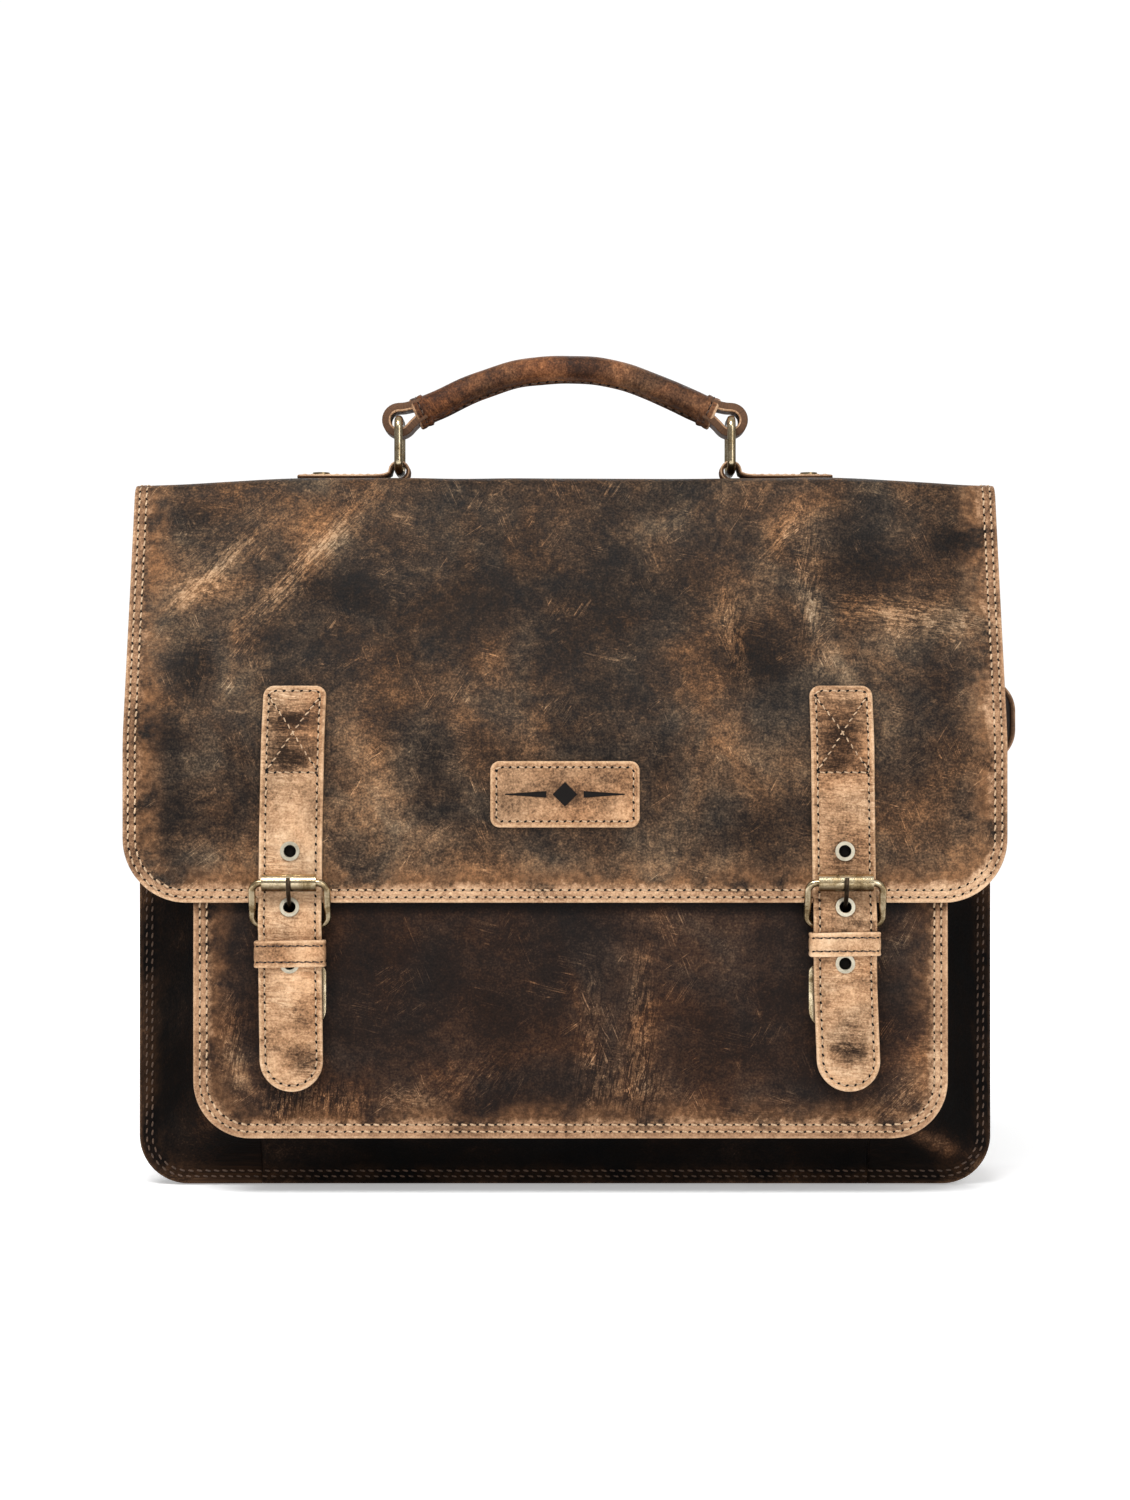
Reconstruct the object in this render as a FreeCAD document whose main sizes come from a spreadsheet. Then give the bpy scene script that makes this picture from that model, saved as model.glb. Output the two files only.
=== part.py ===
import FreeCAD, Part

# Leather satchel: a main compartment, a front pocket, a two-strap flap and a carrying handle.
# Millimetres. +Z is up, the front faces -Y and X runs across the bag. The origin is on the
# surface that the bag stands on, at the middle of its width and depth.

import math
import os
import re

import Sketcher

V = FreeCAD.Vector

SIZES = {
    # main compartment
    "body_width": 396.5, "body_top": 302, "body_corner": 22.6, "back_y": 67, "front_y": -8,
    "panel_thick": 2, "flange_thick": 1.6, "web_thick": 2, "rim": 8, "seam_x": 141,
    "lining_thick": 0.8, "lining_gap": 0.4, "lining_top": 296,
    "divider_y": 44, "divider_thick": 6, "divider_width": 362, "divider_top": 264, "divider_corner": 12,
    # front pocket
    "pocket_x": 2.5, "pocket_width": 342, "pocket_low": 26, "pocket_top": 182, "pocket_corner": 26, "pocket_y": -50,
    "pocket_panel": 2.2, "pocket_wall": 1.6, "wall_half": 176, "wall_low": 20,
    # flap
    "flap_width": 400, "flap_half_thick": 1.5, "flap_middle": 0.3, "flap_low": 133, "flap_corner": 29,
    "hinge_y": 65.5, "hinge_z": 327.5, "hinge_gap": 2, "fold_y": -11, "slope_low": 207, "flap_y": -52.3,
    "kink_radius": 45,
    # straps, their eyelets and the label patch
    "strap_left_x": -124, "strap_right_x": 126.2, "strap_width": 28.6, "strap_thick": 3,
    "strap_top": 230.6, "strap_tip": 48, "strap_corner": 5, "strap_tip_radius": 14.2,
    "strap_over_y": -57, "strap_tail_y": -55.2,
    "eyelet_top": 156.4, "eyelet_mid": 131.2, "eyelet_low": 105.8, "eyelet_hole": 2.8,
    "eyelet_barrel": 3.2, "eyelet_flange": 4.4, "eyelet_lip": 0.7, "eyelet_fit": 0.1,
    "eyelet_lean": 14, "eyelet_sink": 1.05, "strap_rise": 3, "strap_bend": 8, "strap_ease": 0.6,
    "patch_width": 67.5, "patch_height": 30, "patch_z": 182, "patch_thick": 1.6, "patch_corner": 4.3,
    # buckles
    "bar_z": 123, "bar_y": -53.9, "bar_radius": 1.7, "roller_z": 142.3, "roller_y": -61.2,
    "frame_half": 16.9, "frame_corner": 4.2, "roller_radius": 3.9, "roller_length": 24.5, "running": 0.08,
    "prong_radius": 1, "prong_eye": 2.9, "prong_eye_width": 4, "chape_fold": 1.2,
    "chape_width": 24, "chape_thick": 2, "chape_low": 72, "chape_y": -52.9, "chape_slot": 6,
    "chape_corner": 10, "keeper_height": 10.8, "keeper_thick": 1.4, "keeper_back_y": -51.3,
    "keeper_front_y": -60.5, "keeper_half": 16.1, "keeper_left_z": 110.8, "keeper_right_z": 114.5,
    # hidden clasps behind the straps
    "clasp_z": 90, "clasp_size": 30, "clasp_plate": 1, "clasp_shift": 0.8, "boss_radius": 7,
    "boss_height": 1.2, "clasp_corner": 4, "clasp_round": 10,
    "catch_radius": 10, "catch_hole": 8, "catch_y": -51.3, "catch_thick": 1.6,
    # handle and its rings
    "handle_y": 22, "ring_x": 78.6, "ring_low": 334.2, "ring_high": 358.4, "ring_wire": 2,
    "ring_half": 13, "ring_corner": 4.5, "band_width": 16.5,
    "grip_top": 390.4, "grip_radius": 108.5, "grip_lean": 24.5, "grip_end": 71.5,
    "grip_height": 13, "grip_width": 18, "grip_softness": 5.5, "loop_radius": 8.4, "loop_hole": 5.2,
    "loop_cover": 4, "loop_gap": 0.2, "tab_thick": 3.6, "tab_end": 127, "tab_eye": 5.2, "tab_hole": 3.3,
    "rivet_radius": 4, "rivet_height": 1.4, "rivet_x": 116,
    # side loops and their D-rings
    "side_y": 29.5, "side_width": 22, "side_thick": 2.2, "side_top": 258, "side_low": 174,
    "side_bow_left": 19.25, "side_bow_right": 23.75, "side_foot": 11, "side_flat": 10, "side_rise": 10,
    "side_bend": 16, "side_toe": 4, "ding_wire": 1.7, "ding_half": 13.8, "ding_drop": 21,
    "ding_corner": 11, "ding_heel": 2.6, "ding_x": 195.85, "ding_z": 196,
}
PAST = 40  # how far a cutting tool runs past what it cuts
# heights above and depths in front of the bar at the prong's bends, and their radii
PRONG = [(2.2, -0.1), (6.4, -0.8), (10.2, -7.3), (14.2, -10.9), (18.6, -13.0), (21.8, -12.9)]
PRONG_BENDS = [0, 2.5, 4, 5, 5, 0]

doc = FreeCAD.newDocument("satchel")
sheet = doc.addObject("Spreadsheet::Sheet", "sizes")
for row, (alias, value) in enumerate(SIZES.items(), start=1):
    sheet.set("A%d" % row, str(value))
    sheet.setAlias("A%d" % row, alias)
doc.recompute()

NODES = []


def size(alias):
    """The value of one cell."""
    return float(sheet.get(alias))


def cells(text):
    """An expression in which every alias is read from the sheet."""
    return re.sub(r"[a-z][a-z_]+[a-z]", lambda m: "sizes." + m[0] if m[0] in SIZES else m[0], str(text))


def bind(item, values):
    """Binds properties of an object to expressions of cells."""
    for name, text in values.items():
        item.setExpression(name, cells(text))


def node(item, label):
    """Registers a finished sub-part under its own label."""
    item.Label = label
    NODES.append(item)
    return item


# ------------------------------------------------------------------ sketched bodies

def normal_of(sketch):
    """The direction that a sketch faces."""
    return sketch.getGlobalPlacement().Rotation.multVec(V(0, 0, 1))


def direction(edge):
    """The unit direction of a straight edge, or a null vector for a curved one."""
    ends = [vertex.Point for vertex in edge.Vertexes]
    if len(ends) < 2 or abs((ends[1] - ends[0]).Length - edge.Length) > 1e-4:
        return V()
    return (ends[1] - ends[0]).normalize()


def outline(body, role, offset, corners):
    """A closed polygon on an origin plane of the body, every corner bound to the sheet."""
    sketch = body.newObject("Sketcher::SketchObject", "outline")
    plane = [o for o in body.Origin.OriginFeatures if o.Role == role][0]
    sketch.AttachmentSupport = [(plane, "")]
    sketch.MapMode = "FlatFace"
    bind(sketch, {"AttachmentOffset.Base.z": offset})
    count = len(corners)
    turn = 2 * math.pi / count
    rough = [V(50 * math.cos(turn * i), 50 * math.sin(turn * i), 0) for i in range(count)]
    for i in range(count):
        sketch.addGeometry(Part.LineSegment(rough[i], rough[(i + 1) % count]))
    for i in range(count):
        sketch.addConstraint(Sketcher.Constraint("Coincident", i, 2, (i + 1) % count, 1))
    for i, (across, up) in enumerate(corners):
        for kind, text in (("DistanceX", across), ("DistanceY", up)):
            number = sketch.addConstraint(Sketcher.Constraint(kind, -1, 1, i, 1, 1.0))
            bind(sketch, {"Constraints[%d]" % number: text})
    doc.recompute()
    return sketch


def round_corners(body, feature, sketch, rounds):
    """Fillets the edges that rise from corners of the sketch; rounds maps a radius to their numbers."""
    places = [sketch.getGlobalPlacement().multVec(line.StartPoint) for line in sketch.Geometry]
    for radius, numbers in rounds.items():
        edges = []
        for i, edge in enumerate(feature.Shape.Edges):
            way = direction(edge)
            rising = abs(way.dot(normal_of(sketch))) > 0.5
            start = edge.Vertexes[0].Point
            if rising and any((places[n] - start).cross(way).Length < 1e-4 for n in numbers):
                edges.append("Edge%d" % (i + 1))
        fillet = body.newObject("PartDesign::Fillet", "rounding")
        fillet.Base = (feature, edges)
        bind(fillet, {"Radius": radius})
        doc.recompute()
        feature = fillet
    return feature


def extrude(body, role, offset, corners, length, rounds):
    """A padded polygon. XZ_Plane sketches run towards -Y, YZ_Plane +X and XY_Plane +Z."""
    sketch = outline(body, role, offset, corners)
    feature = body.newObject("PartDesign::Pad", "pad")
    feature.Profile = sketch
    bind(feature, {"Length": length})
    doc.recompute()
    return round_corners(body, feature, sketch, rounds)


def soften(body, radius, keep):
    """Fillets the edges of the body that keep accepts."""
    tip = body.Tip
    names = ["Edge%d" % (i + 1) for i, edge in enumerate(tip.Shape.Edges) if keep(edge)]
    fillet = body.newObject("PartDesign::Fillet", "softened")
    fillet.Base = (tip, names)
    bind(fillet, {"Radius": radius})
    doc.recompute()
    return fillet


def new_body(label):
    """An empty PartDesign body."""
    return doc.addObject("PartDesign::Body", label)


def rectangle(half, low, top):
    """The corners of an upright rectangle about x = 0, the lower two first."""
    return [("-(%s)" % half, low), (half, low), (half, top), ("-(%s)" % half, top)]


def plate(label, centre, half, low, top, back, thick, rounds):
    """A flat upright plate with rounded corners, padded towards the front from y = back."""
    body = new_body(label)
    corners = [("%s + (%s)" % (centre, x), z) for x, z in rectangle(half, low, top)]
    extrude(body, "XZ_Plane", "-(%s)" % back, corners, thick, rounds)
    return body


# ------------------------------------------------------------------ primitives

def block(x0, x1, y0, y1, z0, z1):
    """A box between two corners."""
    box = doc.addObject("Part::Box", "block")
    bind(box, {"Length": "(%s) - (%s)" % (x1, x0), "Width": "(%s) - (%s)" % (y1, y0),
               "Height": "(%s) - (%s)" % (z1, z0),
               "Placement.Base.x": x0, "Placement.Base.y": y0, "Placement.Base.z": z0})
    return box


def cylinder(x, y, z, radius, length, way):
    """A cylinder that starts at (x, y, z) and runs along way, one of +X, +Y, -Y or +Z."""
    item = doc.addObject("Part::Cylinder", "cylinder")
    turned = FreeCAD.Rotation(V(0, 0, 1), way)
    item.Placement = FreeCAD.Placement(V(0, 0, 0), turned)
    bind(item, {"Radius": radius, "Height": length,
                "Placement.Base.x": x, "Placement.Base.y": y, "Placement.Base.z": z})
    return item


def combine(kind, items):
    """One boolean of several objects: Fuse, Common, or Cut of the first by the rest."""
    if kind == "Cut" and len(items) > 2:
        items = [items[0], combine("Fuse", items[1:])]
    if kind == "Cut":
        result = doc.addObject("Part::Cut", "cut")
        result.Base, result.Tool = items
    else:
        result = doc.addObject("Part::Multi" + kind, kind.lower())
        result.Shapes = items
    result.Refine = kind == "Fuse"
    return result


def wire_tube(points, bends, radius, closed=False):
    """A round wire: straight runs between the points, joined by tangent arcs of the bend radii."""
    count = len(points)
    trims = [0.0] * count
    pieces = []
    for i in range(count):
        if bends[i] == 0:
            continue
        before = (points[i - 1] - points[i]).normalize()
        after = (points[(i + 1) % count] - points[i]).normalize()
        half = before.getAngle(after) / 2
        trims[i] = bends[i] / math.tan(half)
        middle = points[i] + (before + after).normalize() * (bends[i] / math.sin(half))
        start = (points[i] + before * trims[i] - middle).normalize()
        axis = start.cross((points[i] + after * trims[i] - middle).normalize()).normalize()
        arc = doc.addObject("Part::Torus", "bend")
        arc.Radius1 = bends[i]
        bind(arc, {"Radius2": radius})
        arc.Angle3 = 180 - math.degrees(2 * half)
        spin = FreeCAD.Rotation(start, axis.cross(start), axis, "ZXY")
        arc.Placement = FreeCAD.Placement(middle, spin)
        pieces.append(arc)
    for i in range(count if closed else count - 1):
        a, b = points[i], points[(i + 1) % count]
        way = (b - a).normalize()
        a = a + way * trims[i]
        b = b - way * trims[(i + 1) % count]
        run = doc.addObject("Part::Cylinder", "run")
        run.Height = (b - a).Length
        run.Placement = FreeCAD.Placement(a, FreeCAD.Rotation(V(0, 0, 1), way))
        bind(run, {"Radius": radius})
        pieces.append(run)
    return combine("Fuse", pieces)


# ------------------------------------------------------------------ main compartment

def split_gusset(whole, label, centre):
    """Cuts a U-shaped gusset at its two bottom seams into left, bottom and right pieces."""
    reach = "body_width"
    left, right = "%s - seam_x" % centre, "%s + seam_x" % centre
    for side, low, high in (("left", "-" + reach, left), ("bottom", left, right), ("right", right, reach)):
        span = block(low, high, "-" + reach, reach, "-" + reach, reach)
        node(combine("Common", [whole, span]), "%s_%s" % (label, side))


def make_main_compartment():
    """The two panels, the gusset with its outward flanges, the lining and the padded divider."""
    half, rounds = "body_width/2", {"body_corner": [0, 1]}
    node(plate("back", "0", half, "0", "hinge_z - hinge_gap", "back_y", "panel_thick", rounds),
         "back_panel")
    node(plate("front", "0", half, "0", "body_top", "front_y + panel_thick", "panel_thick", rounds),
         "front_panel")

    gusset = new_body("gusset")
    inner_back, inner_front = "back_y - panel_thick", "front_y + panel_thick"
    extrude(gusset, "XZ_Plane", "-(%s)" % inner_back, rectangle(half, "0", "body_top"), "flange_thick",
            rounds)
    extrude(gusset, "XZ_Plane", "-(%s)" % inner_back, rectangle(half + " - rim", "rim", "body_top"),
            "(%s) - (%s)" % (inner_back, inner_front), {"body_corner - rim": [0, 1]})
    extrude(gusset, "XZ_Plane", "-(%s + flange_thick)" % inner_front, rectangle(half, "0", "body_top"),
            "flange_thick", rounds)
    bore = half + " - rim - web_thick"
    core = plate("core", "0", bore, "rim + web_thick", "body_top + rim", "back_y", "back_y - front_y",
                 {"body_corner - rim - web_thick": [0, 1]})
    split_gusset(combine("Cut", [gusset, core]), "main_gusset", "0")

    start = "back_y - panel_thick - lining_gap"
    depth = "back_y - front_y - 2*panel_thick - 2*lining_gap"
    low = "rim + web_thick + lining_gap"
    corner = "body_corner - rim - web_thick - lining_gap"
    outer = plate("lining", "0", bore + " - lining_gap", low, "lining_top", start, depth, {corner: [0, 1]})
    inner = plate("space", "0", bore + " - lining_gap - lining_thick", low + " + lining_thick",
                  "lining_top + rim", start + " - lining_thick", depth + " - 2*lining_thick",
                  {corner + " - lining_thick": [0, 1]})
    node(combine("Cut", [outer, inner]), "main_lining")

    corners = {"divider_corner": [0, 1, 2, 3]}
    node(plate("divider", "0", "divider_width/2", low + " + lining_thick", "divider_top", "divider_y",
               "divider_thick", corners), "padded_divider")


# ------------------------------------------------------------------ front pocket

def make_pocket():
    """The pocket's panel and its gusset, which turns outward and is sewn in with the bag's front rim."""
    half, low, top, rounds = "wall_half", "wall_low", "pocket_top", {"pocket_corner": [0, 1]}
    node(plate("pocket", "pocket_x", "pocket_width/2", "pocket_low", top, "pocket_y + pocket_panel",
               "pocket_panel", rounds), "pocket_panel")
    depth = "(front_y - pocket_y - pocket_panel)"
    flange = plate("flange", "0", "body_width/2", "0", top, "front_y", "pocket_wall",
                   {"body_corner": [0, 1]})
    wall = plate("wall", "pocket_x", half, low, top, "front_y", depth, rounds)
    space = plate("space", "pocket_x", half + " - pocket_wall", low + " + pocket_wall", top + " + rim",
                  "front_y + 1", depth + " + 2", {"pocket_corner - pocket_wall": [0, 1]})
    split_gusset(combine("Cut", [combine("Fuse", [flange, wall]), space]), "pocket_gusset", "pocket_x")


# ------------------------------------------------------------------ flap

LEAN = "((fold_y - flap_y)/(hinge_z - slope_low))"
STRETCH = "sqrt(1 + %s^2)" % LEAN


def flap_top_point(out):
    """The top end of the flap's front, hinge_gap below the fold, out of its middle surface."""
    run = "hinge_gap/%s" % STRETCH
    return ("fold_y - %s*%s - (%s)/%s" % (run, LEAN, out, STRETCH),
            "hinge_z - %s + (%s)*%s/%s" % (run, out, LEAN, STRETCH))


def flap_slope_point(up, out):
    """A point at height up on the sloping part, out of the flap's middle surface."""
    return ("flap_y + (%s - slope_low)*%s - (%s)*%s" % (up, LEAN, out, STRETCH), up)


def flap_kink_point(out):
    """The corner where the sloping part meets the upright part."""
    return ("flap_y - (%s)" % out, "slope_low + (%s)*(%s - 1)/%s" % (out, STRETCH, LEAN))


def across(body, centre, width, corners, rounds):
    """A Y-Z profile extruded across X, about x = centre."""
    return extrude(body, "YZ_Plane", "%s - (%s)/2" % (centre, width), corners, width, rounds)


def along_y(low, high):
    """Accepts straight edges along Y whose height is between the two."""
    def test(edge):
        return abs(direction(edge).y) > 0.7 and low < edge.CenterOfMass.z < high
    return test


def make_flap_layer(label, inner, outer):
    """One layer of the flap's front, from the fold to its lower edge."""
    body = new_body(label)
    corners = [flap_top_point(inner), flap_top_point(outer), flap_kink_point(outer),
               ("flap_y - (%s)" % outer, "flap_low"), ("flap_y - (%s)" % inner, "flap_low"),
               flap_kink_point(inner)]
    across(body, "0", "flap_width", corners, {"kink_radius + (%s)" % outer: [2],
                                              "kink_radius + (%s)" % inner: [5]})
    low = size("flap_low")
    soften(body, "flap_corner", along_y(low - 1, low + 1))
    node(body, label)


def make_flap():
    """The flap: its top with the backing, its front with the backing, and the label patch."""
    half = "flap_width/2"
    ends = ("fold_y + hinge_gap", "hinge_y - hinge_gap")
    middle = "hinge_z + flap_middle"
    node(block("-" + half, half, *ends, middle, "hinge_z + flap_half_thick"), "flap_top_leather")
    node(block("-" + half, half, *ends, "hinge_z - flap_half_thick", middle), "flap_top_backing")
    make_flap_layer("flap_leather", "flap_middle", "flap_half_thick")
    make_flap_layer("flap_backing", "-flap_half_thick", "flap_middle")
    node(plate("patch", "0", "patch_width/2", "patch_z - patch_height/2", "patch_z + patch_height/2",
               "flap_y - flap_half_thick", "patch_thick", {"patch_corner": [0, 1, 2, 3]}), "label_patch")


# ------------------------------------------------------------------ straps and buckles

def make_strap(side, x):
    """A strap sewn to the flap, over the buckle's bar and down to its rounded tip."""
    body = new_body("strap")
    on_flap = "flap_half_thick"
    face = "flap_half_thick + strap_thick"
    over, tail, thick = "strap_over_y", "strap_tail_y", " - strap_thick"
    off_flap, rise, sink = "flap_low + strap_rise + 1", "bar_z + strap_rise", "bar_z - 0.5"
    level = "bar_z - strap_rise - 1.5"
    back = [flap_slope_point("strap_top", on_flap), flap_kink_point(on_flap),
            ("flap_y - " + on_flap, off_flap), (over, rise), (over, sink), (tail, level),
            (tail, "strap_tip")]
    front = [(tail + thick, "strap_tip"), (tail + thick, level + " - strap_ease"),
             (over + thick, sink + " - strap_ease"), (over + thick, rise + " + strap_ease"),
             ("flap_y - (%s)" % face, off_flap + " + strap_ease"), flap_kink_point(face),
             flap_slope_point("strap_top", face)]
    across(body, x, "strap_width", back + front,
           {"kink_radius": [1, 12], "strap_bend": [2, 3, 10, 11]})
    tip, top = size("strap_tip"), size("strap_top")
    soften(body, "strap_tip_radius", along_y(tip - 1, tip + 1))
    soften(body, "strap_corner", along_y(top - 3, top + 3))
    holes = (("top", "flap_y - (%s)" % face, 0),
             ("mid", over + thick + " + eyelet_sink", size("eyelet_lean")), ("low", tail + thick, 0))
    drills = [eyelet_part(x, *hole, "eyelet_barrel + eyelet_fit", -PAST, 2 * PAST) for hole in holes]
    node(combine("Cut", [body] + drills), "strap_" + side)
    for hole in holes:
        flange = eyelet_part(x, *hole, "eyelet_flange", "0", "eyelet_lip")
        barrel = eyelet_part(x, *hole, "eyelet_barrel", "-strap_thick", "strap_thick")
        bore = eyelet_part(x, *hole, "eyelet_hole", -PAST, 2 * PAST)
        node(combine("Cut", [combine("Fuse", [flange, barrel]), bore]), "eyelet_%s_%s" % (side, hole[0]))


def eyelet_part(x, name, front_y, tilt, radius, start, length):
    """A cylinder through the strap's face at one eyelet, square to the strap there."""
    item = doc.addObject("Part::Cylinder", "eyelet")
    lean = math.radians(tilt)
    way = V(0, -math.cos(lean), math.sin(lean))
    item.Placement = FreeCAD.Placement(V(0, 0, 0), FreeCAD.Rotation(V(0, 0, 1), way))
    bind(item, {"Radius": radius, "Height": length, "Placement.Base.x": x,
                "Placement.Base.y": "%s + (%s)*%.6f" % (front_y, start, way.y),
                "Placement.Base.z": "eyelet_%s + (%s)*%.6f" % (name, start, way.z)})
    return item


def make_clasp(side, x, inward):
    """The clasp behind a strap: the plate with its boss on the pocket, and the catch on the chape."""
    centre = "%s + %d*clasp_shift" % (x, inward)
    half = "clasp_size/2"
    flat = plate("plate", centre, half, "clasp_z - " + half, "clasp_z + " + half, "pocket_y",
                 "clasp_plate", {"clasp_corner": [2, 3], "clasp_round": [0, 1]})
    boss = cylinder(x, "pocket_y", "clasp_z", "boss_radius", "clasp_plate + boss_height", V(0, -1, 0))
    node(combine("Fuse", [flat, boss]), "clasp_base_" + side)
    ring = cylinder(x, "catch_y", "clasp_z", "catch_radius", "catch_thick", V(0, -1, 0))
    hole = cylinder(x, "catch_y + %d" % PAST, "clasp_z", "catch_hole", 2 * PAST, V(0, -1, 0))
    node(combine("Cut", [ring, hole]), "clasp_catch_" + side)


def make_chape(side, x):
    """The folded leather that holds the buckle's bar, with a slot for the prong."""
    body = plate("chape", x, "chape_width/2", "chape_low", "bar_z", "chape_y", "chape_thick",
                 {"chape_corner": [0, 1]})
    start = "%s - chape_width/2" % x
    fold = cylinder(start, "bar_y", "bar_z", "bar_radius + running + chape_fold", "chape_width", V(1, 0, 0))
    bore = cylinder(start, "bar_y", "bar_z", "bar_radius + running", "chape_width", V(1, 0, 0))
    slot = block("%s - chape_slot/2" % x, "%s + chape_slot/2" % x, "bar_y - %d" % PAST,
                 "bar_y + %d" % PAST, "bar_z - prong_eye - bar_radius", "bar_z + %d" % PAST)
    node(combine("Cut", [combine("Fuse", [body, fold]), bore, slot]), "chape_" + side)


def make_buckle(side, x):
    """A wire frame on its bar, the roller on the frame and the prong on the bar."""
    middle = size(x)
    low = V(middle, size("bar_y"), size("bar_z"))
    high = V(middle, size("roller_y"), size("roller_z"))
    reach = V(size("frame_half"), 0, 0)
    bend = size("frame_corner")
    corners = [low - reach, low + reach, high + reach, high - reach]
    frame = wire_tube(corners, [bend] * 4, "bar_radius", True)
    node(frame, "buckle_frame_" + side)

    start = "%s - roller_length/2" % x
    roller = cylinder(start, "roller_y", "roller_z", "roller_radius", "roller_length", V(1, 0, 0))
    bore = cylinder(start, "roller_y", "roller_z", "bar_radius + running", "roller_length", V(1, 0, 0))
    node(combine("Cut", [roller, bore]), "buckle_roller_" + side)

    points = [low + V(0, out, up) for up, out in PRONG]
    prong = wire_tube(points, PRONG_BENDS, "prong_radius")
    start = "%s - prong_eye_width/2" % x
    eye = cylinder(start, "bar_y", "bar_z", "prong_eye", "prong_eye_width", V(1, 0, 0))
    bore = cylinder(start, "bar_y", "bar_z", "bar_radius + running", "prong_eye_width", V(1, 0, 0))
    node(combine("Cut", [combine("Fuse", [prong, eye]), bore]), "buckle_prong_" + side)


def make_keeper(side, x):
    """A sliding loop around the strap and the chape."""
    low = "keeper_%s_z - keeper_height/2" % side
    high = "keeper_%s_z + keeper_height/2" % side
    left, right = "%s - keeper_half" % x, "%s + keeper_half" % x
    wall = "keeper_thick"
    outer = block(left, right, "keeper_front_y", "keeper_back_y", low, high)
    inner = block("%s + %s" % (left, wall), "%s - %s" % (right, wall), "keeper_front_y + " + wall,
                  "keeper_back_y - " + wall, low + " - 1", high + " + 1")
    node(combine("Cut", [outer, inner]), "keeper_" + side)


# ------------------------------------------------------------------ handle

def make_ring(side, sign):
    """A rounded wire ring between the tab on the flap and the handle's loop."""
    x = sign * size("ring_x")
    y, half = size("handle_y"), size("ring_half")
    low, high = size("ring_low"), size("ring_high")
    corners = [V(x, y - half, low), V(x, y + half, low), V(x, y + half, high), V(x, y - half, high)]
    node(wire_tube(corners, [size("ring_corner")] * 4, "ring_wire", True), "handle_ring_" + side)


def make_eye(x, z, radius, hole, ears):
    """A leather eye about a ring's bar, with the flat bands that lead to it."""
    front = "handle_y - band_width/2"
    body = cylinder(x, front, z, radius, "band_width", V(0, 1, 0))
    bore = cylinder(x, front + " - 1", z, hole, "band_width + 2", V(0, 1, 0))
    return combine("Cut", [combine("Fuse", [body] + ears), bore])


def make_handle():
    """The padded grip, its end loops, the two rings and the tabs riveted to the flap."""
    top, lean = "(hinge_z + flap_half_thick)", "tan(grip_lean)"
    front, back = "handle_y - band_width/2", "handle_y + band_width/2"
    for side, sign in (("left", -1), ("right", 1)):
        x = "%d*ring_x" % sign
        far = "%d*tab_end" % sign
        ends = (far, x) if sign < 0 else (x, far)
        strip = block(*ends, front, back, top, top + " + tab_thick")
        node(make_eye(x, "ring_low", "tab_eye", "tab_hole", [strip]), "handle_tab_" + side)
        rivet = cylinder("%d*rivet_x" % sign, "handle_y", top + " + tab_thick", "rivet_radius",
                         "rivet_height", V(0, 0, 1))
        node(rivet, "tab_rivet_" + side)
        make_ring(side, sign)

    body = new_body("grip")
    drop = "(grip_radius + grip_height/2)"
    crown = "grip_top - %s + %s/cos(grip_lean)" % (drop, drop)
    under = "grip_top - %s + (grip_radius - grip_height/2)/cos(grip_lean)" % drop
    rise = "grip_height/2*sin(grip_lean)"
    outer, inner = "(grip_end + %s)" % rise, "(grip_end - %s)" % rise
    corners = [("-" + inner, "%s - %s*%s" % (under, inner, lean)), ("0", under),
               (inner, "%s - %s*%s" % (under, inner, lean)), (outer, "%s - %s*%s" % (crown, outer, lean)),
               ("0", crown), ("-" + outer, "%s - %s*%s" % (crown, outer, lean))]
    rounds = {"grip_radius + grip_height/2": [4], "grip_radius - grip_height/2": [1]}
    extrude(body, "XZ_Plane", "-(handle_y + grip_width/2)", corners, "grip_width", rounds)
    ends = size("grip_end") - size("grip_height")
    soften(body, "grip_softness", lambda e: not (abs(direction(e).y) > 0.7) and
           abs(e.CenterOfMass.x) < ends)
    node(body, "handle_grip")

    axis = "(grip_top - %s + grip_radius/cos(grip_lean))" % drop
    for side, sign in (("left", -1), ("right", 1)):
        band = new_body("band")
        near = "(grip_end + loop_gap)"
        top_line = "%s - %s*%s" % (axis, near, lean)
        profile = [(near, top_line + " - loop_cover"), ("ring_x - 1", "ring_high - loop_radius"),
                   ("ring_x + loop_cover", "ring_high"), ("ring_x + 3", "ring_high + loop_radius"),
                   (near, top_line + " + loop_cover")]
        corners = [("%d*(%s)" % (sign, px), pz) for px, pz in profile]
        extrude(band, "XZ_Plane", "-(%s)" % back, corners, "band_width", {})
        eye = make_eye("%d*ring_x" % sign, "ring_high", "loop_radius", "loop_hole", [band])
        node(combine("Cut", [eye, body]), "handle_loop_" + side)


# ------------------------------------------------------------------ side loops

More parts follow.
